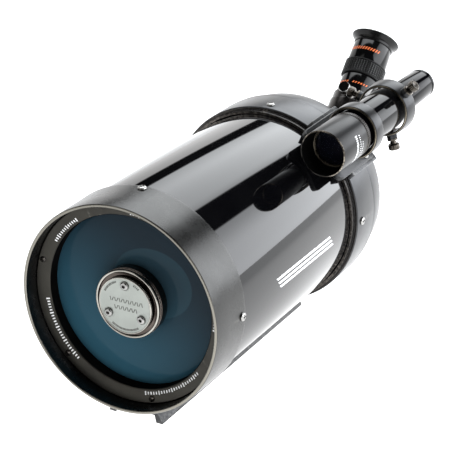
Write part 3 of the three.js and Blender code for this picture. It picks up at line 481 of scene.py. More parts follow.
DEAD_BLACK = Finish("dead_black", Slot.MOULDED, (0.0015, 0.0015, 0.0015), (0.003, 0.003, 0.003), 0.85,
                    Marks.BLAST, 0.1, refraction=1.1, grain=2600.0, relief=0.3)
EYEPIECE_GLOSS = Finish("eyepiece_gloss", Slot.EYEPIECE_GLOSS, (0.0022, 0.0022, 0.0026),
                        (0.004, 0.004, 0.004), 0.08,
                        Marks.LATHE, 0.02, refraction=1.36, grain=1500.0, relief=0.02)
COATED_GLASS = CoatedGlass("coated_glass", Slot.COATED_GLASS, (0.025, 0.082, 0.12), (0.04, 0.1, 0.13), 0.03,
                           Marks.BLAST, 0.006, refraction=1.13, opacity=0.985, grain=30.0, relief=0.0)
LENS_GLASS = Finish("lens_glass", Slot.LENS_GLASS, (0.006, 0.008, 0.012), (0.008, 0.008, 0.016), 0.03,
                    Marks.BLAST, 0.006, refraction=1.35, opacity=0.6, grain=30.0, relief=0.0)
MIRROR = Finish("mirror_coat", Slot.MIRROR, (0.86, 0.88, 0.89), (0.84, 0.86, 0.88), 0.03,
                Marks.BLAST, 0.01, metallic=1.0, grain=40.0, relief=0.0)
FACE_PLATE = Finish("face_plate", Slot.FACE_PLATE, (0.34, 0.362, 0.337), (0.3, 0.32, 0.297), 0.4,
                    Marks.BLAST, 0.08, metallic=0.4, grain=3500.0, relief=0.2, worn=(0.75, 0.76, 0.74))
STAMP_INK = Finish("stamp_ink", Slot.FACE_PLATE, (0.045, 0.045, 0.04), (0.07, 0.07, 0.062), 0.5,
                   Marks.BLAST, 0.08, grain=3500.0, relief=0.2)
CHROME = Finish("chrome", Slot.CHROME, (0.34, 0.335, 0.325), (0.26, 0.257, 0.25), 0.12,
                Marks.LATHE, 0.06, metallic=1.0, grain=6000.0, relief=0.06)
GUNMETAL = Finish("gunmetal", Slot.GUNMETAL, (0.075, 0.066, 0.056), (0.045, 0.04, 0.034), 0.2,
                  Marks.LATHE, 0.1, metallic=1.0, grain=5000.0, relief=0.12, worn=(0.4, 0.36, 0.3))
RUBBER = Finish("rubber", Slot.RUBBER, (0.006, 0.006, 0.0065), (0.01, 0.01, 0.01), 0.55,
                Marks.BLAST, 0.12, refraction=1.28, grain=2400.0, relief=0.3, worn=(0.05, 0.05, 0.048))
SOFT_RUBBER = Finish("soft_rubber", Slot.RUBBER, (0.0025, 0.0025, 0.0025), (0.004, 0.004, 0.004), 0.24,
                     Marks.BLAST, 0.06, refraction=1.32, grain=1800.0, relief=0.12)
# A lighter, more metallic copy of the grip's rubber for the studs: a painted highlight on the studs against the
# dark sleeve.
STUD_PAINTED_HIGHLIGHT = Finish("stud_rubber_painted_highlight", Slot.RUBBER, (0.06, 0.06, 0.06), (0.045, 0.045, 0.045), 0.2,
                     Marks.BLAST, 0.06, metallic=0.7, grain=1800.0, relief=0.1)
EDGE_METAL = Finish("edge_metal", Slot.ANODISED, (0.38, 0.362, 0.33), (0.28, 0.266, 0.24), 0.16,
                    Marks.LATHE, 0.08, metallic=1.0, grain=6000.0, relief=0.08)
WARM_EDGE = Finish("warm_edge", Slot.ANODISED, (0.2, 0.175, 0.135), (0.12, 0.105, 0.08), 0.25,
                   Marks.LATHE, 0.1, metallic=1.0, grain=6000.0, relief=0.1)
WHITE_PRINT = Finish("white_print", Slot.TUBE_GLOSS, (0.9, 0.91, 0.92), (0.85, 0.86, 0.87), 0.5,
                     Marks.BLAST, 0.05, grain=2500.0, relief=0.1)
ORANGE_PRINT = Finish("orange_print", Slot.EYEPIECE_GLOSS, (0.8, 0.17, 0.035), (0.72, 0.14, 0.03), 0.5,
                      Marks.BLAST, 0.05, grain=2500.0, relief=0.1)


# ------------------------------------------------------------------------------ mesh making
@dataclass(frozen=True)
class Placement:
    """A local frame: millimetres, with Y along the piece's axis and Z its own up."""

    matrix: Matrix

    def moved(self, x: float = 0.0, y: float = 0.0, z: float = 0.0) -> "Placement":
        """The frame moved along its own axes, in millimetres."""
        return Placement(self.matrix @ Matrix.Translation(Vector((x, y, z)) * MM))

    def spun(self, degrees: float) -> "Placement":
        """The frame turned about its own Y, from Z towards X."""
        return Placement(self.matrix @ Matrix.Rotation(math.radians(degrees), 4, "Y"))

    def tipped(self, degrees: float) -> "Placement":
        """The frame turned about its own X, from Y towards Z."""
        return Placement(self.matrix @ Matrix.Rotation(math.radians(degrees), 4, "X"))


class Join(Enum):
    """How one solid changes another."""

    ADD = "UNION"
    CUT = "DIFFERENCE"


def eased(outline: Outline, radius: float = 0.5, steps: int = 3) -> list[tuple[float, float]]:
    """Rounds the corners of an outline that are off the axis.

    Args:
        outline: its (radius, station) points; it closes on itself or ends on the axis.
        radius: the rounding wanted; short sides get less.
        steps: facets to a corner.

    Returns:
        The outline with rounded corners.
    """
    points = [Vector(point) for point in outline]
    rounded: list[tuple[float, float]] = []
    for index, corner in enumerate(points):
        before, after = points[index - 1], points[(index + 1) % len(points)]
        back, ahead = before - corner, after - corner
        if corner.x < TOUCH or back.length < TOUCH or ahead.length < TOUCH:
            rounded.append((corner.x, corner.y))
            continue
        turn = math.pi - back.angle(ahead)
        if turn < math.radians(14):
            rounded.append((corner.x, corner.y))
            continue
        reach = min(radius * math.tan(turn / 2), 0.45 * back.length, 0.45 * ahead.length)
        start, end = corner + back.normalized() * reach, corner + ahead.normalized() * reach
        for step in range(steps + 1):
            share = step / steps
            spot = start * (1 - share) ** 2 + corner * (2 * share * (1 - share)) + end * share ** 2
            rounded.append((spot.x, spot.y))
    return rounded


def turned(outline: Outline, sides: int = 96, ripple: Ripple | None = None) -> bmesh.types.BMesh:
    """Turns an outline about Y.

    Args:
        outline: (radius, station) points; it closes on itself or starts and ends on the axis.
        sides: facets round the axis.
        ripple: gives a point's radius from its radius, station and angle.

    Returns:
        The closed mesh, in millimetres.
    """
    mesh = bmesh.new()
    rows = []
    for radius, station in outline:
        row = []
        for side in range(1 if radius < TOUCH else sides):
            angle = math.tau * side / sides
            reach = ripple(radius, station, angle) if ripple and radius >= TOUCH else radius
            row.append(mesh.verts.new((reach * math.sin(angle), station, reach * math.cos(angle))))
        rows.append(row)
    pairs = list(zip(rows, rows[1:]))
    if len(rows[0]) > 1 or len(rows[-1]) > 1:
        pairs.append((rows[-1], rows[0]))
    for low, high in pairs:
        for side in range(sides):
            after = (side + 1) % sides
            if len(low) == 1 and len(high) == 1:
                break
            if len(low) == 1:
                mesh.faces.new((low[0], high[after], high[side]))
            elif len(high) == 1:
                mesh.faces.new((low[side], low[after], high[0]))
            else:
                mesh.faces.new((low[side], low[after], high[after], high[side]))
    bmesh.ops.recalc_face_normals(mesh, faces=mesh.faces)
    return mesh


def ring(outer: float, inner: float, front: float, back: float, sides: int = 96,
         ease: float = 0.3) -> bmesh.types.BMesh:
    """A plain ring, or a disc where inner is 0, with eased edges.

    Args:
        outer: its outside radius.
        inner: its bore's radius.
        front: the station of one face.
        back: the station of the other.
        sides: facets round the axis.
        ease: the rounding of its edges.

    Returns:
        The mesh.
    """
    outline = [(inner, front), (outer, front), (outer, back), (inner, back)]
    return turned(eased(outline, ease) if ease else outline, sides)


def prism(outline: Outline, low: float, high: float) -> bmesh.types.BMesh:
    """Raises a flat outline along Z.

    Args:
        outline: its (x, y) points.
        low: the height of its underside.
        high: the height of its top.

    Returns:
        The mesh.
    """
    mesh = bmesh.new()
    bottom = [mesh.verts.new((x, y, low)) for x, y in outline]
    top = [mesh.verts.new((x, y, high)) for x, y in outline]
    mesh.faces.new(bottom)
    mesh.faces.new(top)
    for index in range(len(outline)):
        after = (index + 1) % len(outline)
        mesh.faces.new((bottom[index], bottom[after], top[after], top[index]))
    bmesh.ops.recalc_face_normals(mesh, faces=mesh.faces)
    return mesh


def block(x: Span, y: Span, z: Span) -> bmesh.types.BMesh:
    """A block between three pairs of limits."""
    return prism([(x[0], y[0]), (x[1], y[0]), (x[1], y[1]), (x[0], y[1])], *z)


def rounded_plate(x: Span, y: Span, corner: float, steps: int = 6) -> list[tuple[float, float]]:
    """The outline of a plate with round corners.

    Args:
        x: its left and right.
        y: its front and back.
        corner: the corners' radius.
        steps: facets to a corner.

    Returns:
        The outline's points.
    """
    centres = [(x[1] - corner, y[1] - corner), (x[0] + corner, y[1] - corner),
               (x[0] + corner, y[0] + corner), (x[1] - corner, y[0] + corner)]
    points = []
    for quarter, (across, along) in enumerate(centres):
        for step in range(steps + 1):
            angle = math.pi / 2 * (quarter + step / steps)
            points.append((across + corner * math.cos(angle), along + corner * math.sin(angle)))
    return points


def shifted(mesh: bmesh.types.BMesh, x: float = 0.0, y: float = 0.0, z: float = 0.0) -> bmesh.types.BMesh:
    """Moves a mesh and returns it."""
    bmesh.ops.translate(mesh, vec=(x, y, z), verts=mesh.verts)
    return mesh


def swung(mesh: bmesh.types.BMesh, axis: str, degrees: float) -> bmesh.types.BMesh:
    """Turns a mesh about X, Y or Z and returns it."""
    bmesh.ops.rotate(mesh, matrix=Matrix.Rotation(math.radians(degrees), 3, axis), verts=mesh.verts)
    return mesh


def with_modifier(mesh: bmesh.types.BMesh, kind: str, tool: bpy.types.Object | None = None,
                  **settings: Any) -> bmesh.types.BMesh:
    """Runs one of Blender's modifiers on a mesh.

    Args:
        mesh: what it works on; it is used up.
        kind: the modifier's type.
        tool: the second object, for a boolean.
        **settings: the modifier's properties.

    Returns:
        The resulting mesh.
    """
    data = bpy.data.meshes.new("work")
    mesh.to_mesh(data)
    mesh.free()
    holder = bpy.data.objects.new("work", data)
    bpy.context.scene.collection.objects.link(holder)
    modifier = holder.modifiers.new("work", kind)
    for name, value in settings.items():
        setattr(modifier, name, value)
    if tool is not None:
        modifier.object = tool
    bpy.context.view_layer.update()
    result = bmesh.new()
    result.from_object(holder, bpy.context.evaluated_depsgraph_get())
    bpy.data.objects.remove(holder)
    bpy.data.meshes.remove(data)
    return result


def combined(mesh: bmesh.types.BMesh, tools: Iterable[bmesh.types.BMesh], how: Join) -> bmesh.types.BMesh:
    """Adds solids to a mesh or cuts them from it.

    Args:
        mesh: the solid that is changed; it is used up.
        tools: the other solids; they are used up too.
        how: whether they are added or cut.

    Returns:
        The resulting mesh.
    """
    for solid in tools:
        data = bpy.data.meshes.new("tool")
        solid.to_mesh(data)
        solid.free()
        tool = bpy.data.objects.new("tool", data)
        bpy.context.scene.collection.objects.link(tool)
        mesh = with_modifier(mesh, "BOOLEAN", tool, operation=how.value, solver="MANIFOLD")
        bpy.data.objects.remove(tool)
        bpy.data.meshes.remove(data)
    return mesh


def bevelled(mesh: bmesh.types.BMesh, width: float, segments: int = 3) -> bmesh.types.BMesh:
    """Rounds a mesh's sharp edges."""
    return with_modifier(mesh, "BEVEL", width=width, segments=segments, limit_method="ANGLE",
                         angle_limit=math.radians(38), use_clamp_overlap=True)


def merged(meshes: Iterable[bmesh.types.BMesh]) -> bmesh.types.BMesh:
    """Puts separate small solids in one mesh; they are used up."""
    whole = bmesh.new()
    for mesh in meshes:
        data = bpy.data.meshes.new("part")
        mesh.to_mesh(data)
        mesh.free()
        whole.from_mesh(data)
        bpy.data.meshes.remove(data)
    return whole


def hole(radius: float, front: float, back: float, x: float = 0.0, z: float = 0.0,
         sides: int = 32) -> bmesh.types.BMesh:
    """A round cutter along Y."""
    return shifted(turned([(0.0, front), (radius, front), (radius, back), (0.0, back)], sides), x, 0.0, z)


def radial(mesh: bmesh.types.BMesh, distance: float, station: float, degrees: float) -> bmesh.types.BMesh:
    """Stands a mesh made along Y on the round of the tube.

    Args:
        mesh: what is stood up; its +Y points outwards.
        distance: how far its foot is from the axis.
        station: its place along the axis.
        degrees: its turn from up towards X.

    Returns:
        The mesh.
    """
    shifted(swung(mesh, "X", 90), z=distance)
    return shifted(swung(mesh, "Y", degrees), y=station)


def show(name: str, mesh: bmesh.types.BMesh, placement: Placement, finish: Finish, body: str,
         *nodes: str, slot: Slot | None = None) -> bpy.types.Object:
    """Turns a mesh into a finished piece of the telescope.

    Args:
        name: the piece's name.
        mesh: its shape in millimetres; it is used up.
        placement: the frame it was made in.
        finish: its surface.
        body: the moving body that carries it.
        *nodes: the plain solids that it stands for.
        slot: not used.

    Returns:
        The object.
    """
    bmesh.ops.scale(mesh, vec=(MM, MM, MM), verts=mesh.verts)
    bmesh.ops.remove_doubles(mesh, verts=mesh.verts, dist=1e-7)
    bmesh.ops.recalc_face_normals(mesh, faces=mesh.faces)
    for face in mesh.faces:
        face.smooth = True
    for edge in mesh.edges:
        edge.smooth = len(edge.link_faces) == 2 and edge.calc_face_angle(0.0) < SHARP
    data = bpy.data.meshes.new(name)
    mesh.to_mesh(data)
    mesh.free()
    piece = bpy.data.objects.new(name, data)
    bpy.context.scene.collection.objects.link(piece)
    piece.matrix_world = placement.matrix
    data.materials.append(finish.material())
    bpy.context.view_layer.update()
    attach(piece, body)
    if nodes:
        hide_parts(*nodes)
    LOG.info("%s: %d faces on %s", name, len(data.polygons), body)
    return piece


def dress(finish: Finish, *nodes: str) -> None:
    """Gives plain solids that stay as they are a better material.

    Args:
        finish: their surface.
        *nodes: their names.
    """
    for node in nodes:
        data = frame["nodes"][node].data
        data.materials.clear()
        data.materials.append(finish.material())
        LOG.info("%s: kept, %s", node, finish.label)


# ------------------------------------------------------------------------------ fasteners
@dataclass
class CrossScrew:
    """A domed screw with a cross recess; its seat is at 0 and its head reaches towards +Y."""

    head: float = 3.3
    rise: float = 1.7
    shank: float = 1.4
    reach: float = 2.0

    def mesh(self) -> bmesh.types.BMesh:
        """Its shape along Y."""
        outline = [(0.0, -self.reach), (self.shank, -self.reach), (self.shank, 0.0), (self.head * 0.97, 0.0),
                   (self.head, self.rise * 0.18), (self.head * 0.97, self.rise * 0.42),
                   (self.head * 0.84, self.rise * 0.74), (self.head * 0.6, self.rise * 0.93),
                   (self.head * 0.3, self.rise * 0.99), (0.0, self.rise)]
        half = self.head * 0.13
        wide = self.head * 0.56
        floor = self.rise * 0.35
        slots = [block((-wide, wide), (floor, self.rise + 1), (-half, half)),
                 block((-half, half), (floor, self.rise + 1), (-wide, wide)),
                 turned([(0.0, floor - 0.3), (half * 1.4, floor), (half * 2.1, self.rise + 0.5),
                         (0.0, self.rise + 0.5)], 4)]
        return combined(turned(outline, 36), slots, Join.CUT)


@dataclass
class SocketScrew:
    """A polished cap with a round-cornered hollow in it, standing towards +Y from its seat at 0."""

    head: float = 3.1
    rise: float = 2.0
    shank: float = 1.5
    reach: float = 18.0

    def mesh(self) -> bmesh.types.BMesh:
        """Its shape along Y."""
        outline = [(0.0, -self.reach), (self.shank, -self.reach), (self.shank, 0.0), (self.head, 0.0),
                   (self.head, self.rise * 0.45), (self.head * 0.93, self.rise * 0.75),
                   (self.head * 0.74, self.rise * 0.96), (self.head * 0.5, self.rise), (0.0, self.rise)]
        socket = turned([(0.0, self.rise * 0.25), (self.head * 0.42, self.rise * 0.3),
                         (self.head * 0.47, self.rise + 1), (0.0, self.rise + 1)], 6)
        return combined(turned(eased(outline, 0.2, 2), 36), [socket], Join.CUT)


@dataclass
class Thumbscrew:
    """A knurled thumbscrew: its tip is at 0 and its head stands towards +Y."""

    reach: float = 5.0
    shank: float = 1.9
    head: float = 4.4
    length: float = 9.0
    flutes: int = 30

    def knurl(self, radius: float, station: float, angle: float) -> float:
        """The head's radius at a point, with its flutes."""
        on_head = radius > self.head * 0.93
        return radius * (1 - 0.035 * (0.5 + 0.5 * math.cos(self.flutes * angle))) if on_head else radius

    def mesh(self) -> bmesh.types.BMesh:
        """Its shape along Y."""
        top = self.reach + self.length
        neck = self.head * 0.55
        outline = [(0.0, 0.0), (self.shank - 0.4, 0.0), (self.shank, 0.5), (self.shank, self.reach),
                   (neck, self.reach), (neck, self.reach + 1.6), (self.head * 0.8, self.reach + 1.6),
                   (self.head, self.reach + 2.4), (self.head, top - 0.7), (self.head * 0.86, top),
                   (self.head * 0.5, top), (self.head * 0.44, top - 0.35), (0.0, top - 0.35)]
        return turned(eased(outline, 0.25, 2), self.flutes * 4, self.knurl)


# ------------------------------------------------------------------------------ front end
@dataclass
class FrontCell:
    """The ring round the corrector, the corrector itself and the ring that holds it."""

    frame: Placement
    rim: float = 76.9
    skirt: float = 77.6
    bore: float = 74.5
    back: float = 39.1
    tube: float = 75.3
    lip: float = 64.0
    glass: float = 67.5
    glass_bore: float = 19.0
    glass_front: float = 24.0
    glass_back: float = 28.0
    ledge: float = 28.3
    ring_front: float = 12.6
    ring_back: float = 23.7
    ring_bore: float = 64.5
    ring_slope: float = 2.6
    screw_circle: float = 70.9
    screw_station: float = 34.65
    tick_radius: float = 67.2
    tick_arcs: tuple[Span, ...] = ((190.0, 231.0), (281.0, 323.5), (127.0, 149.0), (82.0, 87.5),
                                   (356.0, 361.5))

    def build(self) -> None:
        """Makes every piece of the front end but the secondary."""
        self.cell()
        self.corrector()
        self.retaining_ring()
        self.screws()

    def cell(self) -> None:
        """The cast cell, with its thin eased rim."""
        outline = [(self.bore, 0.5), (self.bore + 0.6, 0.0), (self.rim - 0.7, 0.0), (self.rim, 0.7),
                   (self.rim + 0.32, 17.0), (self.skirt - 0.1, self.back - 3.1),
                   (self.skirt, self.back - 0.6),
                   (self.skirt - 0.6, self.back), (self.tube, self.back), (self.tube, 29.9), (self.lip, 29.9),
                   (self.lip, self.ledge), (self.glass + 0.3, self.ledge),
                   (self.glass + 0.3, self.glass_front),
                   (self.bore, self.glass_front)]
        holes = [radial(hole(1.75, -3.5, 6.0, sides=24), self.skirt - 3.0, self.screw_station, quarter * 90.0)
                 for quarter in range(4)]
        shell = combined(turned(eased(outline, 0.45), 216), holes, Join.CUT)
        show("front_cell_shell", shell, self.frame, CELL_COAT, "optical_assembly", "front_cell")

    def corrector(self) -> None:
        """The corrector plate, ground thin at its edge's bevel."""
        outline = [(self.glass_bore, self.glass_front), (self.glass, self.glass_front),
                   (self.glass, self.glass_back), (self.glass_bore, self.glass_back)]
        show("corrector_glass", turned(eased(outline, 0.3, 2), 216), self.frame, COATED_GLASS,
             "optical_assembly", "corrector_plate")

    def face_station(self, radius: float) -> float:
        """Where the retaining ring's sloping face lies at a radius."""
        share = (radius - self.ring_bore - 0.6) / (self.bore - 0.8 - self.ring_bore - 0.6)
        return self.ring_front + (self.ring_slope - 0.4) * (1 - share)

    def retaining_ring(self) -> None:
        """The sloping ring in front of the glass and the white scale printed on it."""
        outer = self.bore - 0.3
        outline = [(self.ring_bore, self.ring_back), (self.ring_bore, self.ring_front + self.ring_slope),
                   (self.ring_bore + 0.6, self.ring_front + self.ring_slope - 0.4),
                   (outer - 0.5, self.ring_front),
                   (outer, self.ring_front + 0.4), (outer, self.ring_back)]
        wells = [shifted(hole(2.5, self.ring_front - 2, self.ring_front + 1.1, sides=28),
                         *self.on_circle(number))
                 for number in range(6)]
        body = combined(turned(eased(outline, 0.35), 216), wells, Join.CUT)
        show("retaining_ring", body, self.frame, RING_COAT, "optical_assembly", "corrector_retaining_ring")
        bore = self.ring_bore
        liner = [(bore - 0.05, self.ring_front + self.ring_slope + 0.4), (bore - 0.05, self.ring_back),
                 (bore - 0.25, self.ring_back), (bore - 0.25, self.ring_front + self.ring_slope + 0.4)]
        show("retaining_ring_blacking", turned(liner, 216), self.frame, DEAD_BLACK, "optical_assembly",
             slot=Slot.RING_COAT)
        ticks = []
        for first, last in self.tick_arcs:
            count = round((last - first) / 1.9)
            for index in range(count + 1):
                degrees = 90.0 - (first + (last - first) * index / count)
                half = 1.35 if index % 5 == 0 else 0.95
                ticks.append(self.tick(degrees, half))
        show("retaining_ring_scale", merged(ticks), self.frame, WHITE_PRINT, "optical_assembly",
             slot=Slot.RING_COAT)

    def tick(self, degrees: float, half: float) -> bmesh.types.BMesh:
        """One printed stroke of the scale, lying on the ring's slope.

        Args:
            degrees: its turn from up towards X.
            half: half its length along the radius.

        Returns:
            The stroke.
        """
        low, high = self.tick_radius - half, self.tick_radius + half
        stroke = bmesh.new()
        corners = []
        for radius in (low, high):
            station = self.face_station(radius)
            for across in (-0.46, 0.46):
                for lift in (-0.05, 0.05):
                    corners.append(stroke.verts.new((across, station - 0.02 + lift, radius)))
        bmesh.ops.convex_hull(stroke, input=corners)
        return swung(stroke, "Y", degrees)

    def on_circle(self, number: int) -> tuple[float, float, float]:
        """The centre of one of the six ring screws, as a shift."""
        angle = math.radians(45 + 60 * number)
        return self.screw_circle * math.cos(angle), 0.0, self.screw_circle * math.sin(angle)

    def screws(self) -> None:
        """The four cell screws and the six small black ones in the retaining ring."""
        for number in range(4):
            place = self.frame.moved(y=self.screw_station).spun(90.0 * number).moved(z=self.skirt + 0.1).tipped(90)
            show(f"front_screw_{number + 1}", CrossScrew(3.2, 1.6, 1.45, 2.6).mesh(), place, CHROME,
                 "optical_assembly", f"front_cell_screw_{number + 1}")
        for number in range(6):
            x, _, z = self.on_circle(number)
            screw = swung(CrossScrew(2.1, 1.3, 1.0, 0.6).mesh(), "X", 180)
            place = self.frame.moved(x, self.ring_front + 1.15, z)
            show(f"ring_screw_{number + 1}", screw, place, ANODISED, "optical_assembly")


@dataclass
class Secondary:
    """The secondary mirror's holder in the middle of the corrector."""

    frame: Placement
    radius: float = 25.4
    boss: float = 21.0
    spigot: float = 18.7
    face: float = 12.4
    boss_face: float = 11.2
    base: float = 23.7
    tail: float = 31.8
    plate_front: float = 9.7
    plate_back: float = 10.9
    circle: float = 15.0
    turns: tuple[float, ...] = (0.0, 120.0, 240.0)

    def build(self) -> None:
        """Makes the housing, the plate, its three screws and the hidden mirror."""
        self.housing()
        self.face_plate()
        self.collimation_screws()
        dress(MIRROR, "secondary_mirror")
        dress(ANODISED, "secondary_baffle")

    def wells(self, radius: float, front: float, back: float) -> list[bmesh.types.BMesh]:
        """Cutters for the three screws.

        Args:
            radius: how wide they are.
            front: where they start.
            back: where they end.

        Returns:
            The cutters.
        """
        return [swung(hole(radius, front, back, z=self.circle), "Y", turn) for turn in self.turns]

    def housing(self) -> None:
        """The black grooved body and the polished bands on its front edge."""
        lip = self.radius - 1.9
        outline = [(0.0, self.boss_face), (self.boss, self.boss_face), (self.boss, self.face + 2.2),
                   (lip, self.face + 2.2), (lip, self.face + 0.5), (self.radius - 0.5, self.face + 0.5),
                   (self.radius, self.face + 1.0), (self.radius, self.face + 1.6),
                   (self.radius - 0.8, self.face + 1.9), (self.radius - 0.8, self.face + 2.6),
                   (self.radius, self.face + 2.9), (self.radius, self.face + 3.8),
                   (self.radius - 0.45, self.face + 4.0), (self.radius - 0.45, self.face + 4.4),
                   (self.radius, self.face + 4.6), (self.radius, self.base), (self.spigot, self.base),
                   (self.spigot, self.tail), (0.0, self.tail)]
        body = combined(turned(eased(outline, 0.16, 2), 144), self.wells(1.85, 8.0, 33.0), Join.CUT)
        show("secondary_body", body, self.frame, HOUSING_BLACK, "optical_assembly", "secondary_housing")
        front_edge = [(lip - 0.1, self.face + 0.6), (lip + 0.1, self.face + 0.15),
                      (lip + 0.75, self.face - 0.1),
                      (self.radius - 0.6, self.face - 0.02), (self.radius - 0.1, self.face + 0.4),
                      (self.radius + 0.02, self.face + 1.1), (self.radius - 0.3, self.face + 1.1)]
        show("secondary_bright_edge", turned(eased(front_edge, 0.5, 3), 144), self.frame, EDGE_METAL,
             "optical_assembly")
        line = self.face + 3.3
        band = [(self.radius - 0.2, line - 0.35), (self.radius + 0.03, line - 0.25),
                (self.radius + 0.03, line + 0.25),
                (self.radius - 0.2, line + 0.35)]
        show("secondary_bright_line", turned(band, 144), self.frame, EDGE_METAL, "optical_assembly")

    def face_plate(self) -> None:
        """The silver plate with its raised rim, screw wells and two rows of stamped dashes."""
        rim = self.boss
        outline = [(0.0, self.plate_front + 0.25), (rim - 1.3, self.plate_front + 0.25),
                   (rim - 1.0, self.plate_front),
                   (rim - 0.4, self.plate_front), (rim, self.plate_front + 0.45), (rim, self.plate_back),
                   (0.0, self.plate_back)]
        plate = turned(eased(outline, 0.14, 2), 144)
        for cutter in (self.wells(3.6, self.plate_front - 2, self.plate_front + 0.62)
                       + self.wells(1.85, self.plate_front - 2, self.plate_back + 2)):
            plate = combined(plate, [cutter], Join.CUT)
        show("secondary_plate", plate, self.frame, FACE_PLATE, "optical_assembly", "secondary_face_plate")
        bright = [(rim - 1.05, self.plate_front + 0.1), (rim - 0.85, self.plate_front - 0.12),
                  (rim - 0.35, self.plate_front - 0.12), (rim + 0.03, self.plate_front + 0.35),
                  (rim + 0.03, self.plate_front + 0.7), (rim - 0.3, self.plate_front + 0.7)]
        show("secondary_plate_rim", turned(eased(bright, 0.2, 3), 144), self.frame, EDGE_METAL,
             "optical_assembly", slot=Slot.FACE_PLATE)
        show("secondary_plate_marks", merged(self.dashes()), self.frame, STAMP_INK, "optical_assembly")

    def dashes(self) -> list[bmesh.types.BMesh]:
        """Small dark strokes: three arcs near the rim and two short slanted rows in the middle."""
        top, foot = self.plate_front + 0.2, self.plate_front + 0.4
        strokes = []
        for first, last, count in ((146.0, 214.0, 23), (-62.0, -24.0, 12), (24.0, 36.0, 4)):
            for index in range(count):
                half = 0.34 if index % 3 else 0.46
                dash = block((-half, half), (top, foot), (17.2, 18.7))
                strokes.append(swung(dash, "Y", first + (last - first) * index / (count - 1)))
        for height, middle, half, count in ((3.4, 1.0, 12.5, 15), (-2.2, 0.5, 8.5, 11)):
            for index in range(count):
                across = middle - half + 2 * half * index / (count - 1)
                slant = 24.0 if index % 2 else -14.0
                dash = swung(block((-0.3, 0.3), (top, foot), (-1.5, 1.5)), "Y", slant)
                strokes.append(shifted(dash, across, 0.0, height))
        return strokes

    def collimation_screws(self) -> None:
        """The three polished adjusting screws."""
        for number, turn in enumerate(self.turns):
            place = self.frame.spun(turn).moved(y=self.plate_front + 0.55, z=self.circle)
            screw = swung(SocketScrew(3.15, 2.2, 1.5, 18.0).mesh(), "X", 180)
            show(f"collimation_cap_{number + 1}", screw, place, CHROME, f"collimation_screw_{number + 1}",
                 f"collimation_screw_{number + 1}")


# ------------------------------------------------------------------------------ tube and rear
@dataclass
class OpticalTube:
    """The enamelled tube and the plain stripe that marks its side."""

    frame: Placement
    radius: float = 75.0
    wall: float = 1.6
    front: float = 30.2
    back: float = 230.2
    stripe_stations: Span = (90.0, 176.0)
    stripe_degrees: tuple[float, ...] = (87.4, 90.2, 93.0)

    def build(self) -> None:
        """Makes the tube, rolled with soft ends, and its stripe."""
        tube = ring(self.radius, self.radius - self.wall, self.front, self.back, 240, 0.5)
        show("tube_shell", tube, self.frame, TUBE_GLOSS, "optical_assembly", "optical_tube")
        self.stripe()

    def stripe(self) -> None:
        """A plain three-line stripe, cut on the slant at both ends."""
        first, last = self.stripe_stations
        lines = []
        for number, degrees in enumerate(self.stripe_degrees):
            half = 0.72
            slant = 2.6 * number
            lines.append(self.patch((first + slant, last + slant), (degrees - half, degrees + half)))
        show("tube_stripe", merged(lines), self.frame, WHITE_PRINT, "optical_assembly", slot=Slot.TUBE_GLOSS)

    def patch(self, stations: Span, degrees: Span) -> bmesh.types.BMesh:
        """A thin printed patch on the tube's round.

        Args:
            stations: where it starts and ends along the tube.
            degrees: its sides, from up towards X.

        Returns:
            The patch.
        """
        mesh = bmesh.new()
        rows = []
        steps = 2
        for lift in (-0.2, 0.05):
            for index in range(steps + 1):
                angle = math.radians(degrees[0] + (degrees[1] - degrees[0]) * index / steps)
                reach = self.radius + lift
                slant = 1.2 * index
                rows.append([mesh.verts.new((reach * math.sin(angle), station + slant,
                                             reach * math.cos(angle)))
                             for station in stations])
        count = steps + 1
        for index in range(steps):
            for low, high in ((index, index + 1), (count + index, count + index + 1)):
                mesh.faces.new((rows[low][0], rows[low][1], rows[high][1], rows[high][0]))
            for end in (0, 1):
                mesh.faces.new((rows[index][end], rows[index + 1][end], rows[count + index + 1][end],
                                rows[count + index][end]))
        for side in (0, steps):
            mesh.faces.new((rows[side][0], rows[side][1], rows[count + side][1], rows[count + side][0]))
        bmesh.ops.recalc_face_normals(mesh, faces=mesh.faces)
        return mesh


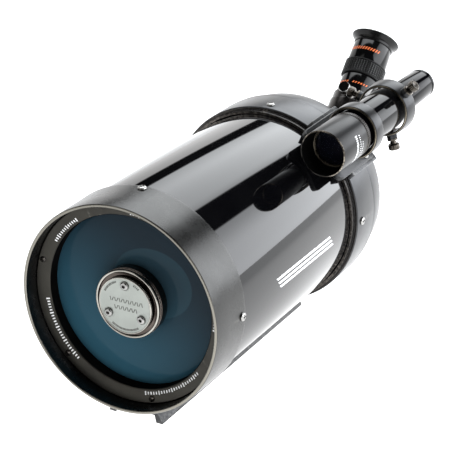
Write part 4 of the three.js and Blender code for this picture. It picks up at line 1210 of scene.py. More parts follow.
@dataclass
class RearCell:
    """The cast rear cell with its finder seat, the focus knob and the mirror inside."""

    frame: Placement
    tube: float = 75.3
    lip: float = 77.1
    radius: float = 79.5
    back_radius: float = 75.2
    lip_front: float = 211.6
    step: float = 216.2
    taper: float = 246.2
    back: float = 271.7
    corner: float = 5.5
    wall: float = 4.2
    port: float = 24.8
    port_back: float = 281.7
    port_bore: float = 18.5
    seat: float = 80.7
    seat_half: float = 26.0
    seat_back: float = 258.2
    finder_degrees: float = 45.0
    knob_circle: float = 44.0
    knob_degrees: float = 235.0
    knob: float = 13.0
    knob_front: float = 275.2
    knob_back: float = 296.2
    screw_station: float = 224.2

    def build(self) -> None:
        """Makes the casting, its screws and the knob, and dresses what is inside."""
        self.casting()
        self.lip_shade_sheet()
        self.screws()
        self.focus_knob()
        dress(MIRROR, "primary_mirror")
        dress(ANODISED, "mirror_carrier", "baffle_tube")
        dress(CHROME, "focus_rod")

    def casting(self) -> None:
        """The casting: straight, tapered and rounded, with the flat seat of the finder's bracket."""
        bend = [(self.back_radius - self.corner + self.corner * math.cos(math.radians(angle)),
                 self.back - self.corner + self.corner * math.sin(math.radians(angle)))
                for angle in (22, 39, 56, 73, 90)]
        outer = eased([(0.0, self.lip_front), (self.lip - 0.4, self.lip_front),
                       (self.lip, self.lip_front + 0.4),
                       (self.lip, self.step), (self.radius - 0.7, self.step), (self.radius, self.step + 0.7),
                       (self.radius, self.taper)], 0.4)
        outer += [(self.radius - 0.35, self.taper + 3.0), (self.back_radius, self.back - self.corner)]
        outer += bend
        outer += eased([(self.port + 6.0, self.back), (self.port + 3.0, self.back),
                        (self.port + 3.0, self.back + 2),
                        (self.port, self.back + 2), (self.port, self.port_back), (0.0, self.port_back)],
                        0.3, 2)[1:]
        hollow = [(0.0, self.lip_front - 1), (self.tube, self.lip_front - 1), (self.tube, 230.5),
                  (73.4, 230.5),
                  (73.4, 233.0), (self.tube, 234.0), (self.tube, self.taper + 2),
                  (self.back_radius - self.wall, self.back - 5), (self.port_bore, self.back - 5),
                  (self.port_bore, self.port_back + 1), (0.0, self.port_back + 1)]
        side = rounded_plate((-self.seat_half, self.seat_half), (self.step, self.seat_back), 1.6, 3)
        pad = bevelled(prism(side, self.seat - 12, self.seat), 0.5, 2)
        swung(pad, "Y", self.finder_degrees)
        knob_x, knob_z = self.knob_place()
        boss = shifted(turned(eased([(0.0, self.back - 4), (9.0, self.back - 4), (9.0, self.back + 3.2),
                                     (0.0, self.back + 3.2)], 0.8), 48), knob_x, 0.0, knob_z)
        body = combined(turned(outer, 216), [pad, boss], Join.ADD)
        cuts = [turned(hollow, 216), hole(3.3, self.back - 7, self.back + 6, knob_x, knob_z, 24)]
        cuts += [radial(hole(1.75, -3.5, 6.0, sides=24), self.radius - 3.0, self.screw_station,
                        quarter * 90.0)
                 for quarter in range(4)]
        cuts += [swung(shifted(swung(hole(1.75, -8, 2, sides=24), "X", 90), across, self.step + 22,
                               self.seat),
                       "Y", self.finder_degrees) for across in (-18.0, 18.0)]
        show("rear_casting", combined(body, cuts, Join.CUT), self.frame, POWDER_COAT, "optical_assembly",
             "rear_cell")

    def lip_shade_sheet(self) -> None:
        """A thin dark sheet over the turned lip and the step's front face in front of the casting: painted shade
        where they lie in shadow.
        """
        front, back, edge = self.lip_front, self.step, self.radius - 0.8
        outline = [(self.tube + 0.05, front - 0.05), (self.lip - 0.35, front - 0.05),
                   (self.lip + 0.05, front + 0.35),
                   (self.lip + 0.05, back - 0.05), (edge, back - 0.05), (edge, back + 0.05),
                   (self.lip - 0.05, back + 0.05), (self.lip - 0.05, front + 0.4),
                   (self.lip - 0.4, front + 0.05),
                   (self.tube + 0.05, front + 0.05)]
        # Painted shade: the dark anodised finish on this sheet stands in for the shadow on the lip and the step's
        # face.
        show("rear_lip_shade_sheet", turned(outline, 216), self.frame, ANODISED, "optical_assembly",
             slot=Slot.POWDER_COAT)

    def knob_place(self) -> tuple[float, float]:
        """Where the focus knob's axis is, as x and z."""
        angle = math.radians(self.knob_degrees)
        return self.knob_circle * math.sin(angle), self.knob_circle * math.cos(angle)

    def screws(self) -> None:
        """The four screws that hold the tube."""
        for number in range(4):
            place = self.frame.moved(y=self.screw_station).spun(90.0 * number).moved(z=self.radius + 0.1).tipped(90)
            show(f"rear_screw_{number + 1}", CrossScrew(3.2, 1.6, 1.45, 2.6).mesh(), place, CHROME,
                 "optical_assembly", f"rear_cell_screw_{number + 1}")

    def focus_knob(self) -> None:
        """The ribbed rubber-faced knob."""
        grip = self.knob - 0.8

        def ribs(radius: float, station: float, angle: float) -> float:
            """The knob's radius with its ribs."""
            inside = self.knob_front + 3.4 < station < self.knob_back - 1.6
            if radius < grip or not inside:
                return radius
            return radius - 0.8 * (0.5 + 0.5 * math.cos(28 * angle)) ** 2

        front, back = self.knob_front, self.knob_back
        outline = [(3.3, front), (10.5, front), (10.5, front + 2), (self.knob, front + 2.8),
                   (self.knob, front + 3.5),
                   (self.knob, front + 4.2), (self.knob, back - 2.4), (self.knob, back - 1.7),
                   (self.knob, back - 1.2),
                   (self.knob - 1.2, back), (6.5, back), (5.9, back - 0.5), (0.0, back - 0.5),
                   (0.0, back - 1.8),
                   (3.3, back - 1.8)]
        x, z = self.knob_place()
        show("focus_knob_grip", turned(eased(outline, 0.3, 2), 224, ribs), self.frame.moved(x=x, z=z), RUBBER,
             "focus_knob", "focus_knob")


# ------------------------------------------------------------------------------ behind the rear cell
@dataclass
class VisualBack:
    """The threaded collar, the sleeve it holds and the sleeve's thumbscrew."""

    frame: Placement
    port: float = 25.1
    collar: float = 29.5
    collar_front: float = 274.0
    collar_length: float = 13.0
    bore: float = 16.15
    sleeve: float = 20.35
    sleeve_front: float = 282.0
    sleeve_back: float = 312.0
    clamp: float = 304.0

    def build(self) -> None:
        """Makes the three pieces."""
        front, back = self.collar_front, self.collar_front + self.collar_length
        flange = self.sleeve_front + 2.6

        def ribs(radius: float, station: float, angle: float) -> float:
            """The collar's radius with its finger ribs."""
            inside = front + 2.0 < station < back - 2.0
            if radius < self.collar - 0.3 or not inside:
                return radius
            return radius - 0.55 * (0.5 + 0.5 * math.cos(60 * angle)) ** 2

        outline = [(self.port, front), (self.collar - 1, front), (self.collar, front + 1),
                   (self.collar, front + 2.1),
                   (self.collar, front + 2.7), (self.collar, back - 2.7), (self.collar, back - 2.1),
                   (self.collar, back - 1), (self.collar - 1, back), (self.sleeve + 0.3, back),
                   (self.sleeve + 0.3, flange + 0.3), (self.port, flange + 0.3)]
        show("collar_ring", turned(eased(outline, 0.25, 2), 240, ribs), self.frame, POWDER_COAT,
             "visual_back_collar", "visual_back_collar")
        tube = [(self.bore, self.sleeve_front), (self.port - 0.3, self.sleeve_front),
                (self.port - 0.3, flange),
                (self.sleeve, flange), (self.sleeve, self.sleeve_back - 12.5),
                (self.sleeve - 0.4, self.sleeve_back - 12.1),
                (self.sleeve - 0.4, self.sleeve_back - 11.7), (self.sleeve, self.sleeve_back - 11.3),
                (self.sleeve, self.sleeve_back - 0.8), (self.sleeve - 0.8, self.sleeve_back),
                (self.bore + 0.5, self.sleeve_back), (self.bore, self.sleeve_back - 0.5)]
        well = radial(hole(2.2, 0.0, 10.0, sides=28), self.bore - 2.0, self.clamp, 270)
        show("sleeve_tube", combined(turned(eased(tube, 0.2, 2), 120), [well], Join.CUT), self.frame,
             ANODISED,
             "visual_back", "visual_back_sleeve")
        place = self.frame.moved(y=self.clamp).spun(270).moved(z=self.bore).tipped(90)
        show("sleeve_thumbscrew", Thumbscrew(5.2, 1.9, 4.4, 9.5).mesh(), place, CHROME,
             "visual_back_thumbscrew", "visual_back_thumbscrew")


@dataclass
class Diagonal:
    """The 45 degree diagonal with its nosepiece and the eyepiece holder."""

    frame: Placement
    axis: Placement
    bend: float = 341.9
    front: float = 312.3
    neck: float = 27.0
    half: float = 17.0
    half_width: float = 18.0
    shell: float = 2.5
    barrel: float = 15.85
    barrel_bore: float = 14.45
    mouth: float = 13.95
    seat: float = 27.3
    holder_top: float = 53.8
    holder_step: float = 45.8
    clamp: float = 50.3

    def build(self) -> None:
        """Makes the nosepiece, the housing and the holder."""
        self.nosepiece()
        self.housing()
        self.holder()
        dress(LENS_GLASS, "diagonal_prism")

    def side(self, half: float, inset: float) -> list[tuple[float, float]]:
        """The housing's outline seen from its side.

        Args:
            half: half its height across the light.
            inset: how far its two mouths are pulled in.

        Returns:
            (station, height) points.
        """
        turn = math.radians(45)
        corner = half * math.tan(turn / 2)
        along = (math.cos(turn), math.sin(turn))
        reach = self.neck - inset
        ends = [(self.bend + along[0] * reach - along[1] * half * side,
                 along[1] * reach + along[0] * half * side) for side in (-1, 1)]
        return [(self.front + inset, -half), (self.bend + corner, -half), ends[0], ends[1],
                (self.bend - corner, half), (self.front + inset, half)]

    def across(self, outline: Outline, half_width: float) -> bmesh.types.BMesh:
        """Raises a side outline to both sides of the middle plane."""
        mesh = prism(outline, -half_width, half_width)
        for vertex in mesh.verts:
            station, height, across = vertex.co
            vertex.co = (across, station, height)
        bmesh.ops.recalc_face_normals(mesh, faces=mesh.faces)
        return mesh

    def nosepiece(self) -> None:
        """The chromed barrel that goes into the visual back."""
        front, back = self.front - 25.3, self.front - 0.3
        outline = [(self.barrel_bore, front), (self.barrel - 0.6, front), (self.barrel, front + 0.6),
                   (self.barrel, back), (self.barrel_bore, back)]
        show("nosepiece_barrel", turned(eased(outline, 0.25, 2), 120), self.frame, CHROME, "diagonal",
             "diagonal_nosepiece")

    def housing(self) -> None:
        """The moulded prism housing: rounded, with a parting line and a raised back plate."""
        body = bevelled(self.across(self.side(self.half, 0.0), self.half_width), 1.8, 4)
        hollow = self.across(self.side(self.half - self.shell, 4.0), self.half_width - self.shell)
        bores = [hole(self.mouth, self.front - 1, self.front + 12, sides=64)]
        exit_bore = swung(hole(self.mouth, self.neck - 12, self.neck + 1, sides=64), "X", 45)
        bores.append(shifted(exit_bore, y=self.bend))
        rim = merged([self.across(self.side(self.half + 3, -6.0), 0.22)])
        parting = combined(rim, [self.across(self.side(self.half - 0.45, 0.0), 2.0)], Join.CUT)
        show("diagonal_body", combined(body, [hollow, *bores, parting], Join.CUT), self.frame, MOULDED,
             "diagonal", "diagonal_housing")
        plate = prism(rounded_plate((-13.0, 13.0), (-11.0, 11.0), 3.0), 0.0, 0.9)
        knee = Placement(self.frame.moved(y=self.bend + 7.4, z=-self.half * 0.905).matrix
                         @ Matrix.Rotation(math.radians(22.5), 4, "X"))
        show("diagonal_back_plate", bevelled(plate, 0.3, 2), knee.moved(y=-3.2, z=-2.3), MOULDED, "diagonal")
        for number, (across, along) in enumerate(((-10.0, -8.0), (10.0, -8.0), (-10.0, 8.0), (10.0, 8.0))):
            screw = swung(CrossScrew(1.5, 0.8, 0.6, 0.4).mesh(), "X", -90)
            show(f"diagonal_plate_screw_{number + 1}", screw, knee.moved(across, along - 3.2, -2.25), CHROME,
                 "diagonal")

    def holder(self) -> None:
        """The eyepiece holder and its thumbscrew with a black end cap."""
        thick, thin, bore = 18.75, 17.85, 16.15
        seat, top, step = self.seat, self.holder_top, self.holder_step
        outline = [(self.mouth, seat), (thick, seat), (thick, seat + 3.0), (thick - 0.5, seat + 3.4),
                   (thick - 0.5, seat + 4.2), (thick, seat + 4.6), (thick, step - 0.8), (thin, step),
                   (thin, top - 0.7),
                   (thin - 0.7, top), (bore + 0.4, top), (bore, top - 0.4), (bore, seat + 2),
                   (self.mouth, seat + 2)]
        well = swung(shifted(hole(2.2, 0.0, 9.0, sides=28), y=bore - 2.5), "X", 90)
        show("holder_tube", combined(turned(eased(outline, 0.2, 2), 120), [shifted(well, y=self.clamp)],
                                     Join.CUT),
             self.axis, ANODISED, "diagonal", "eyepiece_holder")
        place = self.axis.moved(y=self.clamp, z=bore).tipped(90)
        screw = Thumbscrew(3.5, 1.9, 5.0, 8.5, flutes=36)
        show("holder_thumbscrew", screw.mesh(), place, CHROME, "eyepiece_thumbscrew", "eyepiece_thumbscrew")
        cap = turned(eased([(0.0, 11.5), (4.45, 11.5), (4.45, 12.1), (4.0, 12.25), (0.0, 12.25)], 0.2, 2), 48)
        show("holder_thumbscrew_cap", cap, place, DEAD_BLACK, "eyepiece_thumbscrew", slot=Slot.CHROME)


@dataclass
class Eyepiece:
    """The eyepiece: barrel, gloss body, studded grip and flared eyecup."""

    axis: Placement
    barrel: float = 15.85
    barrel_front: float = 29.6
    foot: float = 54.4
    radius: float = 16.2
    grip_foot: float = 70.8
    grip_top: float = 84.6
    grip: float = 17.9
    upper: float = 16.6
    top_radius: float = 16.3
    shoulder: float = 102.6
    top: float = 105.8
    cup_top: float = 110.2
    cup: float = 20.5
    lens_bore: float = 10.3
    stud_rows: int = 6
    studs_round: int = 50
    dash_rows: tuple[tuple[float, float, float, float, float, int], ...] = (
        (94.2, 16.42, 1.3, -50.0, 46.0, 13), (61.6, 16.2, 0.85, -50.0, -16.0, 5),
        (61.6, 16.2, 0.85, 4.0, 46.0, 6))

    def build(self) -> None:
        """Makes every piece of the eyepiece."""
        self.barrel_and_body()
        self.studded_grip()
        self.eyecup()
        self.printed_dashes()
        self.lenses()

    def barrel_and_body(self) -> None:
        """The chromed barrel and the gloss body."""
        barrel = [(self.barrel - 1.4, self.barrel_front), (self.barrel - 0.4, self.barrel_front),
                  (self.barrel, self.barrel_front + 0.5), (self.barrel, self.foot - 0.3),
                  (self.barrel - 1.4, self.foot - 0.3)]
        show("eyepiece_barrel_tube", turned(eased(barrel, 0.25, 2), 120), self.axis, CHROME, "eyepiece",
             "eyepiece_barrel")
        waist, bore, crown = self.radius - 0.8, 12.6, self.top_radius - 1
        body = [(bore, self.foot), (self.radius - 0.8, self.foot), (self.radius, self.foot + 1),
                (self.radius, self.grip_foot), (waist, self.grip_foot), (waist, self.grip_top),
                (self.upper, self.grip_top), (self.top_radius, self.shoulder), (crown, self.shoulder),
                (crown, self.top), (self.lens_bore, self.top), (self.lens_bore, self.top - 5),
                (bore, self.top - 8)]
        show("eyepiece_shell", turned(eased(body, 0.3, 2), 144), self.axis, EYEPIECE_GLOSS, "eyepiece",
             "eyepiece_body")

    def studded_grip(self) -> None:
        """The rubber sleeve with rows of small square studs between two plain rims."""
        waist = self.radius - 0.5
        base = self.grip - 0.95
        low, high = self.grip_foot + 0.3, self.grip_top - 0.3
        sleeve = [(waist, low), (self.grip - 0.1, low), (self.grip - 0.1, low + 1.0), (base, low + 1.4),
                  (base, high - 1.4), (self.grip - 0.1, high - 1.0), (self.grip - 0.1, high), (waist, high)]
        show("eyepiece_grip_sleeve", turned(eased(sleeve, 0.25, 2), 162), self.axis, RUBBER, "eyepiece",
             "eyepiece_grip")
        parts = []
        pitch = (high - low - 2.8) / self.stud_rows
        for row in range(self.stud_rows):
            station = low + 1.4 + pitch * (row + 0.5)
            for index in range(self.studs_round):
                parts.append(self.stud(station, 360.0 * index / self.studs_round, pitch * 0.36, base))
        # Painted highlight: the studs take the lighter copy of the rubber so they read bright against the dark
        # sleeve between them.
        show("eyepiece_grip_studs", merged(parts), self.axis, STUD_PAINTED_HIGHLIGHT, "eyepiece")

    def stud(self, station: float, degrees: float, half: float, base: float) -> bmesh.types.BMesh:
        """One square stud with a smaller top.

        Args:
            station: its middle along the axis.
            degrees: its turn round the axis.
            half: half its width.
            base: the sleeve's radius under it.

        Returns:
            The stud.
        """
        mesh = bmesh.new()
        corners = []
        for lift, size in ((-0.15, half), (0.66, half * 0.9), (0.85, half * 0.6)):
            for across, along in ((-1, -1), (1, -1), (1, 1), (-1, 1)):
                corners.append(mesh.verts.new((across * size, station + along * size, base + lift)))
        bmesh.ops.convex_hull(mesh, input=corners)
        return swung(mesh, "Y", degrees)

    def eyecup(self) -> None:
        """The soft flared cup on its collar."""
        crown = self.top_radius - 0.7
        collar = self.top_radius + 0.5
        flare = self.cup_top - self.top
        outline = [(crown, self.shoulder + 0.3), (collar, self.shoulder + 0.3), (collar, self.top - 0.8),
                   (collar + 0.5, self.top + 0.4), (collar + 1.6, self.top + 1.8),
                   (collar + (self.cup - collar) * 0.84, self.cup_top - flare * 0.25),
                   (self.cup - 0.15, self.cup_top - 0.4),
                   (self.cup, self.cup_top - 0.1), (self.cup - 0.45, self.cup_top),
                   (self.cup - 0.9, self.cup_top - 0.2),
                   (crown + (self.cup - crown) * 0.55, self.top + flare * 0.6), (crown + 0.6, self.top + 0.7),
                   (crown, self.top + 0.3)]
        show("eyecup_flare", turned(eased(outline, 0.5, 3), 144), self.axis, SOFT_RUBBER, "eyepiece",
             "eyecup")

    def printed_dashes(self) -> None:
        """The orange slanted dashes on the front of the body."""
        dashes = []
        for station, radius, half, first, last, count in self.dash_rows:
            for index in range(count):
                dash = block((-0.62, 0.62), (-half, half), (radius - 0.25, radius + 0.06))
                for vertex in dash.verts:
                    vertex.co.x += vertex.co.y * 0.45
                turn = first + (last - first) * index / (count - 1)
                dashes.append(swung(shifted(dash, y=station), "Y", turn))
        show("eyepiece_orange_dashes", merged(dashes), self.axis, ORANGE_PRINT, "eyepiece")

    def lenses(self) -> None:
        """The eye lens and the field lens."""
        reach = self.lens_bore - 0.3
        eye = [(0.0, self.top - 4.4), (reach * 0.6, self.top - 4.1), (reach, self.top - 3.6),
               (reach, self.top - 1.8),
               (reach * 0.75, self.top - 1.2), (reach * 0.4, self.top - 0.9), (0.0, self.top - 0.8)]
        show("eye_lens_glass", turned(eye, 72), self.axis, LENS_GLASS, "eyepiece", "eye_lens")
        base = self.foot + 5
        lens = [(0.0, base), (7.0, base + 0.35), (12.3, base + 1.0), (12.3, base + 4.0), (7.0, base + 4.65),
                (0.0, base + 5.0)]
        show("field_lens_glass", turned(lens, 72), self.axis, LENS_GLASS, "eyepiece", "field_lens")


# ------------------------------------------------------------------------------ dovetail bar
@dataclass
class DovetailBar:
    """The bar under the tube with its two saddles and screws."""

    frame: Placement
    base: float = -92.3
    front: float = 21.5
    back: float = 242.0
    half: float = 22.0
    top_half: float = 17.5
    height: float = 10.3
    web: float = 4.4
    land: float = 1.3
    foot: float = 5.0
    pad_half: float = 24.0
    thread: float = 3.175
    thread_spacing: float = 25.4
    screw_front: float = 27.6
    screw_rear: float = 235.5
    cell: float = 77.6
    rear_cell: float = 79.5

    def build(self) -> None:
        """Makes the bar, the saddles and the two screws."""
        self.bar()
        self.saddles()
        self.screws()

    def along(self, outline: Outline, front: float, back: float) -> bmesh.types.BMesh:
        """Runs an (x, z) outline along the tube."""
        mesh = prism(outline, front, back)
        for vertex in mesh.verts:
            across, height, station = vertex.co
            vertex.co = (across, station, height)
        bmesh.ops.recalc_face_normals(mesh, faces=mesh.faces)
        return mesh

    def bar(self) -> None:
        """The extruded bar, open below but for the pad with the tripod threads."""
        crest = self.base + self.height
        section = [(-self.half, self.base), (self.half, self.base), (self.half, self.base + self.land),
                   (self.top_half, crest - 2.2), (self.top_half, crest), (-self.top_half, crest),
                   (-self.top_half, crest - 2.2), (-self.half, self.base + self.land)]
        body = bevelled(self.along(section, self.front, self.back), 0.35, 2)
        opening = self.half - self.foot
        roof = crest - self.web
        channel = [(-opening, self.base - 1), (opening, self.base - 1), (opening - 1.6, roof),
                   (-opening + 1.6, roof)]
        middle = (self.front + self.back) / 2
        cuts = [self.along(channel, self.front - 1, middle - self.pad_half),
                self.along(channel, middle + self.pad_half, self.back + 1)]
        for side in (-1, 1):
            station = middle + side * self.thread_spacing / 2
            cuts.append(self.upright(self.thread, self.base - 1, self.base + 7.5, station, 48))
            cuts.append(self.upright(self.thread + 0.5, self.base - 1, self.base + 0.5, station, 48))
        cuts += [self.upright(1.8, self.base - 1, crest + 1, station, 24) for station in (self.screw_front,
                                                                                          self.screw_rear)]
        show("bar_body", combined(body, cuts, Join.CUT), self.frame, POWDER_COAT, "optical_assembly",
             "dovetail_bar")

    def upright(self, radius: float, low: float, high: float, station: float,
                sides: int) -> bmesh.types.BMesh:
        """A round cutter that stands on the bar.

        Args:
            radius: its radius.
            low: its lower end.
            high: its upper end.
            station: its place along the bar.
            sides: its facets.

        Returns:
            The cutter.
        """
        return shifted(swung(hole(radius, low, high, sides=sides), "X", 90), y=station)

    def saddles(self) -> None:
        """The two plugs between the bar and the cells."""
        crest = self.base + self.height
        rows = (("front", "bar_saddle_front", self.front + 1, self.screw_front + 3.0, self.cell),
                ("rear", "bar_saddle_rear", self.screw_rear - 6, self.screw_rear + 6, self.rear_cell))
        for name, node, front, back, radius in rows:
            plug = block((-14.0, 14.0), (front, back), (crest + 0.3, crest + 8))
            middle = (front + back) / 2
            cuts = [hole(radius + 0.3, front - 5, back + 5, sides=216),
                    self.upright(1.8, crest - 2, crest + 12,
                                 self.screw_front if name == "front" else middle, 24)]
            show(f"saddle_{name}", bevelled(combined(plug, cuts, Join.CUT), 0.25, 2), self.frame, MOULDED,
                 "optical_assembly", node, slot=Slot.ANODISED)

    def screws(self) -> None:
        """The two screws that hold the bar."""
        roof = self.base + self.height - self.web
        for name, node, station in (("front", "bar_screw_front", self.screw_front),
                                    ("rear", "bar_screw_rear", self.screw_rear)):
            place = self.frame.moved(y=station, z=roof - 0.1).tipped(-90)
            show(f"bar_screw_head_{name}", CrossScrew(3.9, 2.4, 1.45, 9.5).mesh(), place, CHROME,
                 "optical_assembly", node)


# ------------------------------------------------------------------------------ finder
@dataclass
class FinderBracket:
    """The two-ring bracket, its screws, the rubber ring and the three adjusting screws."""

    axis: Placement
    step: float = 216.2
    drop: float = 26.0
    half: float = 23.0
    plate: float = 4.5
    plate_front: float = 190.2
    plate_back: float = 252.2
    spine: float = 8.0
    ring_radius: float = 20.4
    ring_bore: float = 18.5
    front_ring: Span = (207.0, 220.0)
    rear_ring: Span = (263.0, 278.0)
    tube: float = 16.3
    adjust: float = 270.5
    boss_top: float = 24.0
    nut: float = 4.1
    turns: tuple[float, ...] = (0.0, 120.0, 240.0)

    def build(self) -> None:
        """Makes every piece of the bracket."""
        self.casting()
        self.screws()
        self.rubber_ring()
        self.adjusting_screws()

    def hoop(self, stations: Span, flare: float) -> bmesh.types.BMesh:
        """One of the two rings, still solid.

        Args:
            stations: its front and back.
            flare: how much wider it is at its back.

        Returns:
            The disc.
        """
        front, back = stations
        outline = [(0.0, front), (self.ring_radius - 0.9, front), (self.ring_radius, front + 0.9),
                   (self.ring_radius + flare, back - 0.5), (self.ring_radius + flare - 0.5, back),
                   (0.0, back)]
        return turned(eased(outline, 0.3, 2), 120)

    def casting(self) -> None:
        """Plate, spine and rings in one casting, with bright turned chamfers on the rings."""
        plate_low = -self.drop
        plate = prism(rounded_plate((-self.half, self.half), (self.plate_front, self.plate_back), 7.0, 8),
                      plate_low, plate_low + self.plate)
        spine = block((-self.spine, self.spine), (self.front_ring[0] + 0.5, self.rear_ring[1] - 0.5),
                      (plate_low + self.plate - 1, -self.ring_bore - 0.6))
        bosses = [radial(turned(eased([(0.0, 0.0), (4.2, 0.0), (4.0, 5.0), (0.0, 5.0)], 0.4), 40),
                         self.ring_radius - 1.4, self.adjust, turn) for turn in self.turns]
        hoops = [self.hoop(self.front_ring, 0.0), self.hoop(self.rear_ring, 0.8)]
        body = combined(bevelled(plate, 0.7, 3), [bevelled(spine, 0.6, 2), *hoops, *bosses], Join.ADD)
        cuts = [hole(self.ring_bore, self.front_ring[0] - 1, self.rear_ring[1] + 1, sides=120)]
        cuts += [radial(hole(2.2, -5.0, 8.0, sides=24), self.ring_radius, self.adjust,
                        turn) for turn in self.turns]
        cuts += [shifted(swung(hole(1.8, -8.0, 2.0, sides=24), "X", 90), across, self.step + 22,
                         plate_low + 6)
                 for across in (-18.0, 18.0)]
        show("bracket_casting", combined(body, cuts, Join.CUT), self.axis, BRACKET_COAT, "optical_assembly",
             "finder_bracket")
        for name, (front, _) in (("front", self.front_ring), ("rear", self.rear_ring)):
            lip = [(self.ring_bore + 0.04, front + 0.6), (self.ring_bore + 0.04, front + 0.02),
                   (self.ring_bore + 0.3, front - 0.02), (self.ring_radius - 0.95, front - 0.02),
                   (self.ring_radius - 0.5, front + 0.3), (self.ring_radius - 0.9, front + 0.6)]
            show(f"bracket_bright_lip_{name}", turned(lip, 144), self.axis, WARM_EDGE, "optical_assembly",
                 slot=Slot.POWDER_COAT)

    def screws(self) -> None:
        """The two screws through the bracket's plate."""
        for number, across in enumerate((-18.0, 18.0)):
            place = self.axis.moved(across, self.step + 22, -self.drop + self.plate + 0.1).tipped(90)
            show(f"bracket_screw_head_{number + 1}", CrossScrew(3.3, 2.2, 1.45, 9.0).mesh(), place, CHROME,
                 "optical_assembly", f"bracket_screw_{number + 1}")

    def rubber_ring(self) -> None:
        """The rubber ring that the finder tips in."""
        band = (self.ring_bore - self.tube) / 2 - 0.12
        middle = sum(self.front_ring) / 2
        section = [(self.tube + 0.12 + band + band * math.cos(math.radians(angle)),
                    middle + band * 1.6 * math.sin(math.radians(angle))) for angle in range(0, 360, 30)]
        show("finder_rubber_ring", turned(section, 120), self.axis, RUBBER, "finder_pivot", "finder_o_ring")

    def adjusting_screws(self) -> None:
        """The three knurled screws and the lock nut on each boss."""
        for number, turn in enumerate(self.turns):
            slack = 0.0 if number == 0 else 0.6
            place = self.axis.moved(y=self.adjust).spun(turn).moved(z=self.tube + 0.3 + slack).tipped(90)
            screw = Thumbscrew(9.4, 1.9, 4.4, 6.5, 26)
            show(f"adjusting_screw_{number + 1}", screw.mesh(), place, GUNMETAL,
                 f"finder_adjust_screw_{number + 1}", f"finder_adjust_screw_{number + 1}")
            seat = self.axis.moved(y=self.adjust).spun(turn).moved(z=self.boss_top).tipped(90)
            show(f"adjusting_nut_{number + 1}", self.lock_nut(), seat, GUNMETAL, "optical_assembly")

    def lock_nut(self) -> bmesh.types.BMesh:
        """A thin knurled nut, wide enough inside for the screw's neck."""
        bore = 2.6

        def knurl(radius: float, station: float, angle: float) -> float:
            """The nut's radius with its knurl."""
            return radius - 0.12 * (0.5 + 0.5 * math.cos(26 * angle)) if radius > self.nut - 0.05 else radius

        return turned(eased([(bore, 0.0), (self.nut, 0.0), (self.nut, 1.4), (bore, 1.4)], 0.2, 2), 104, knurl)


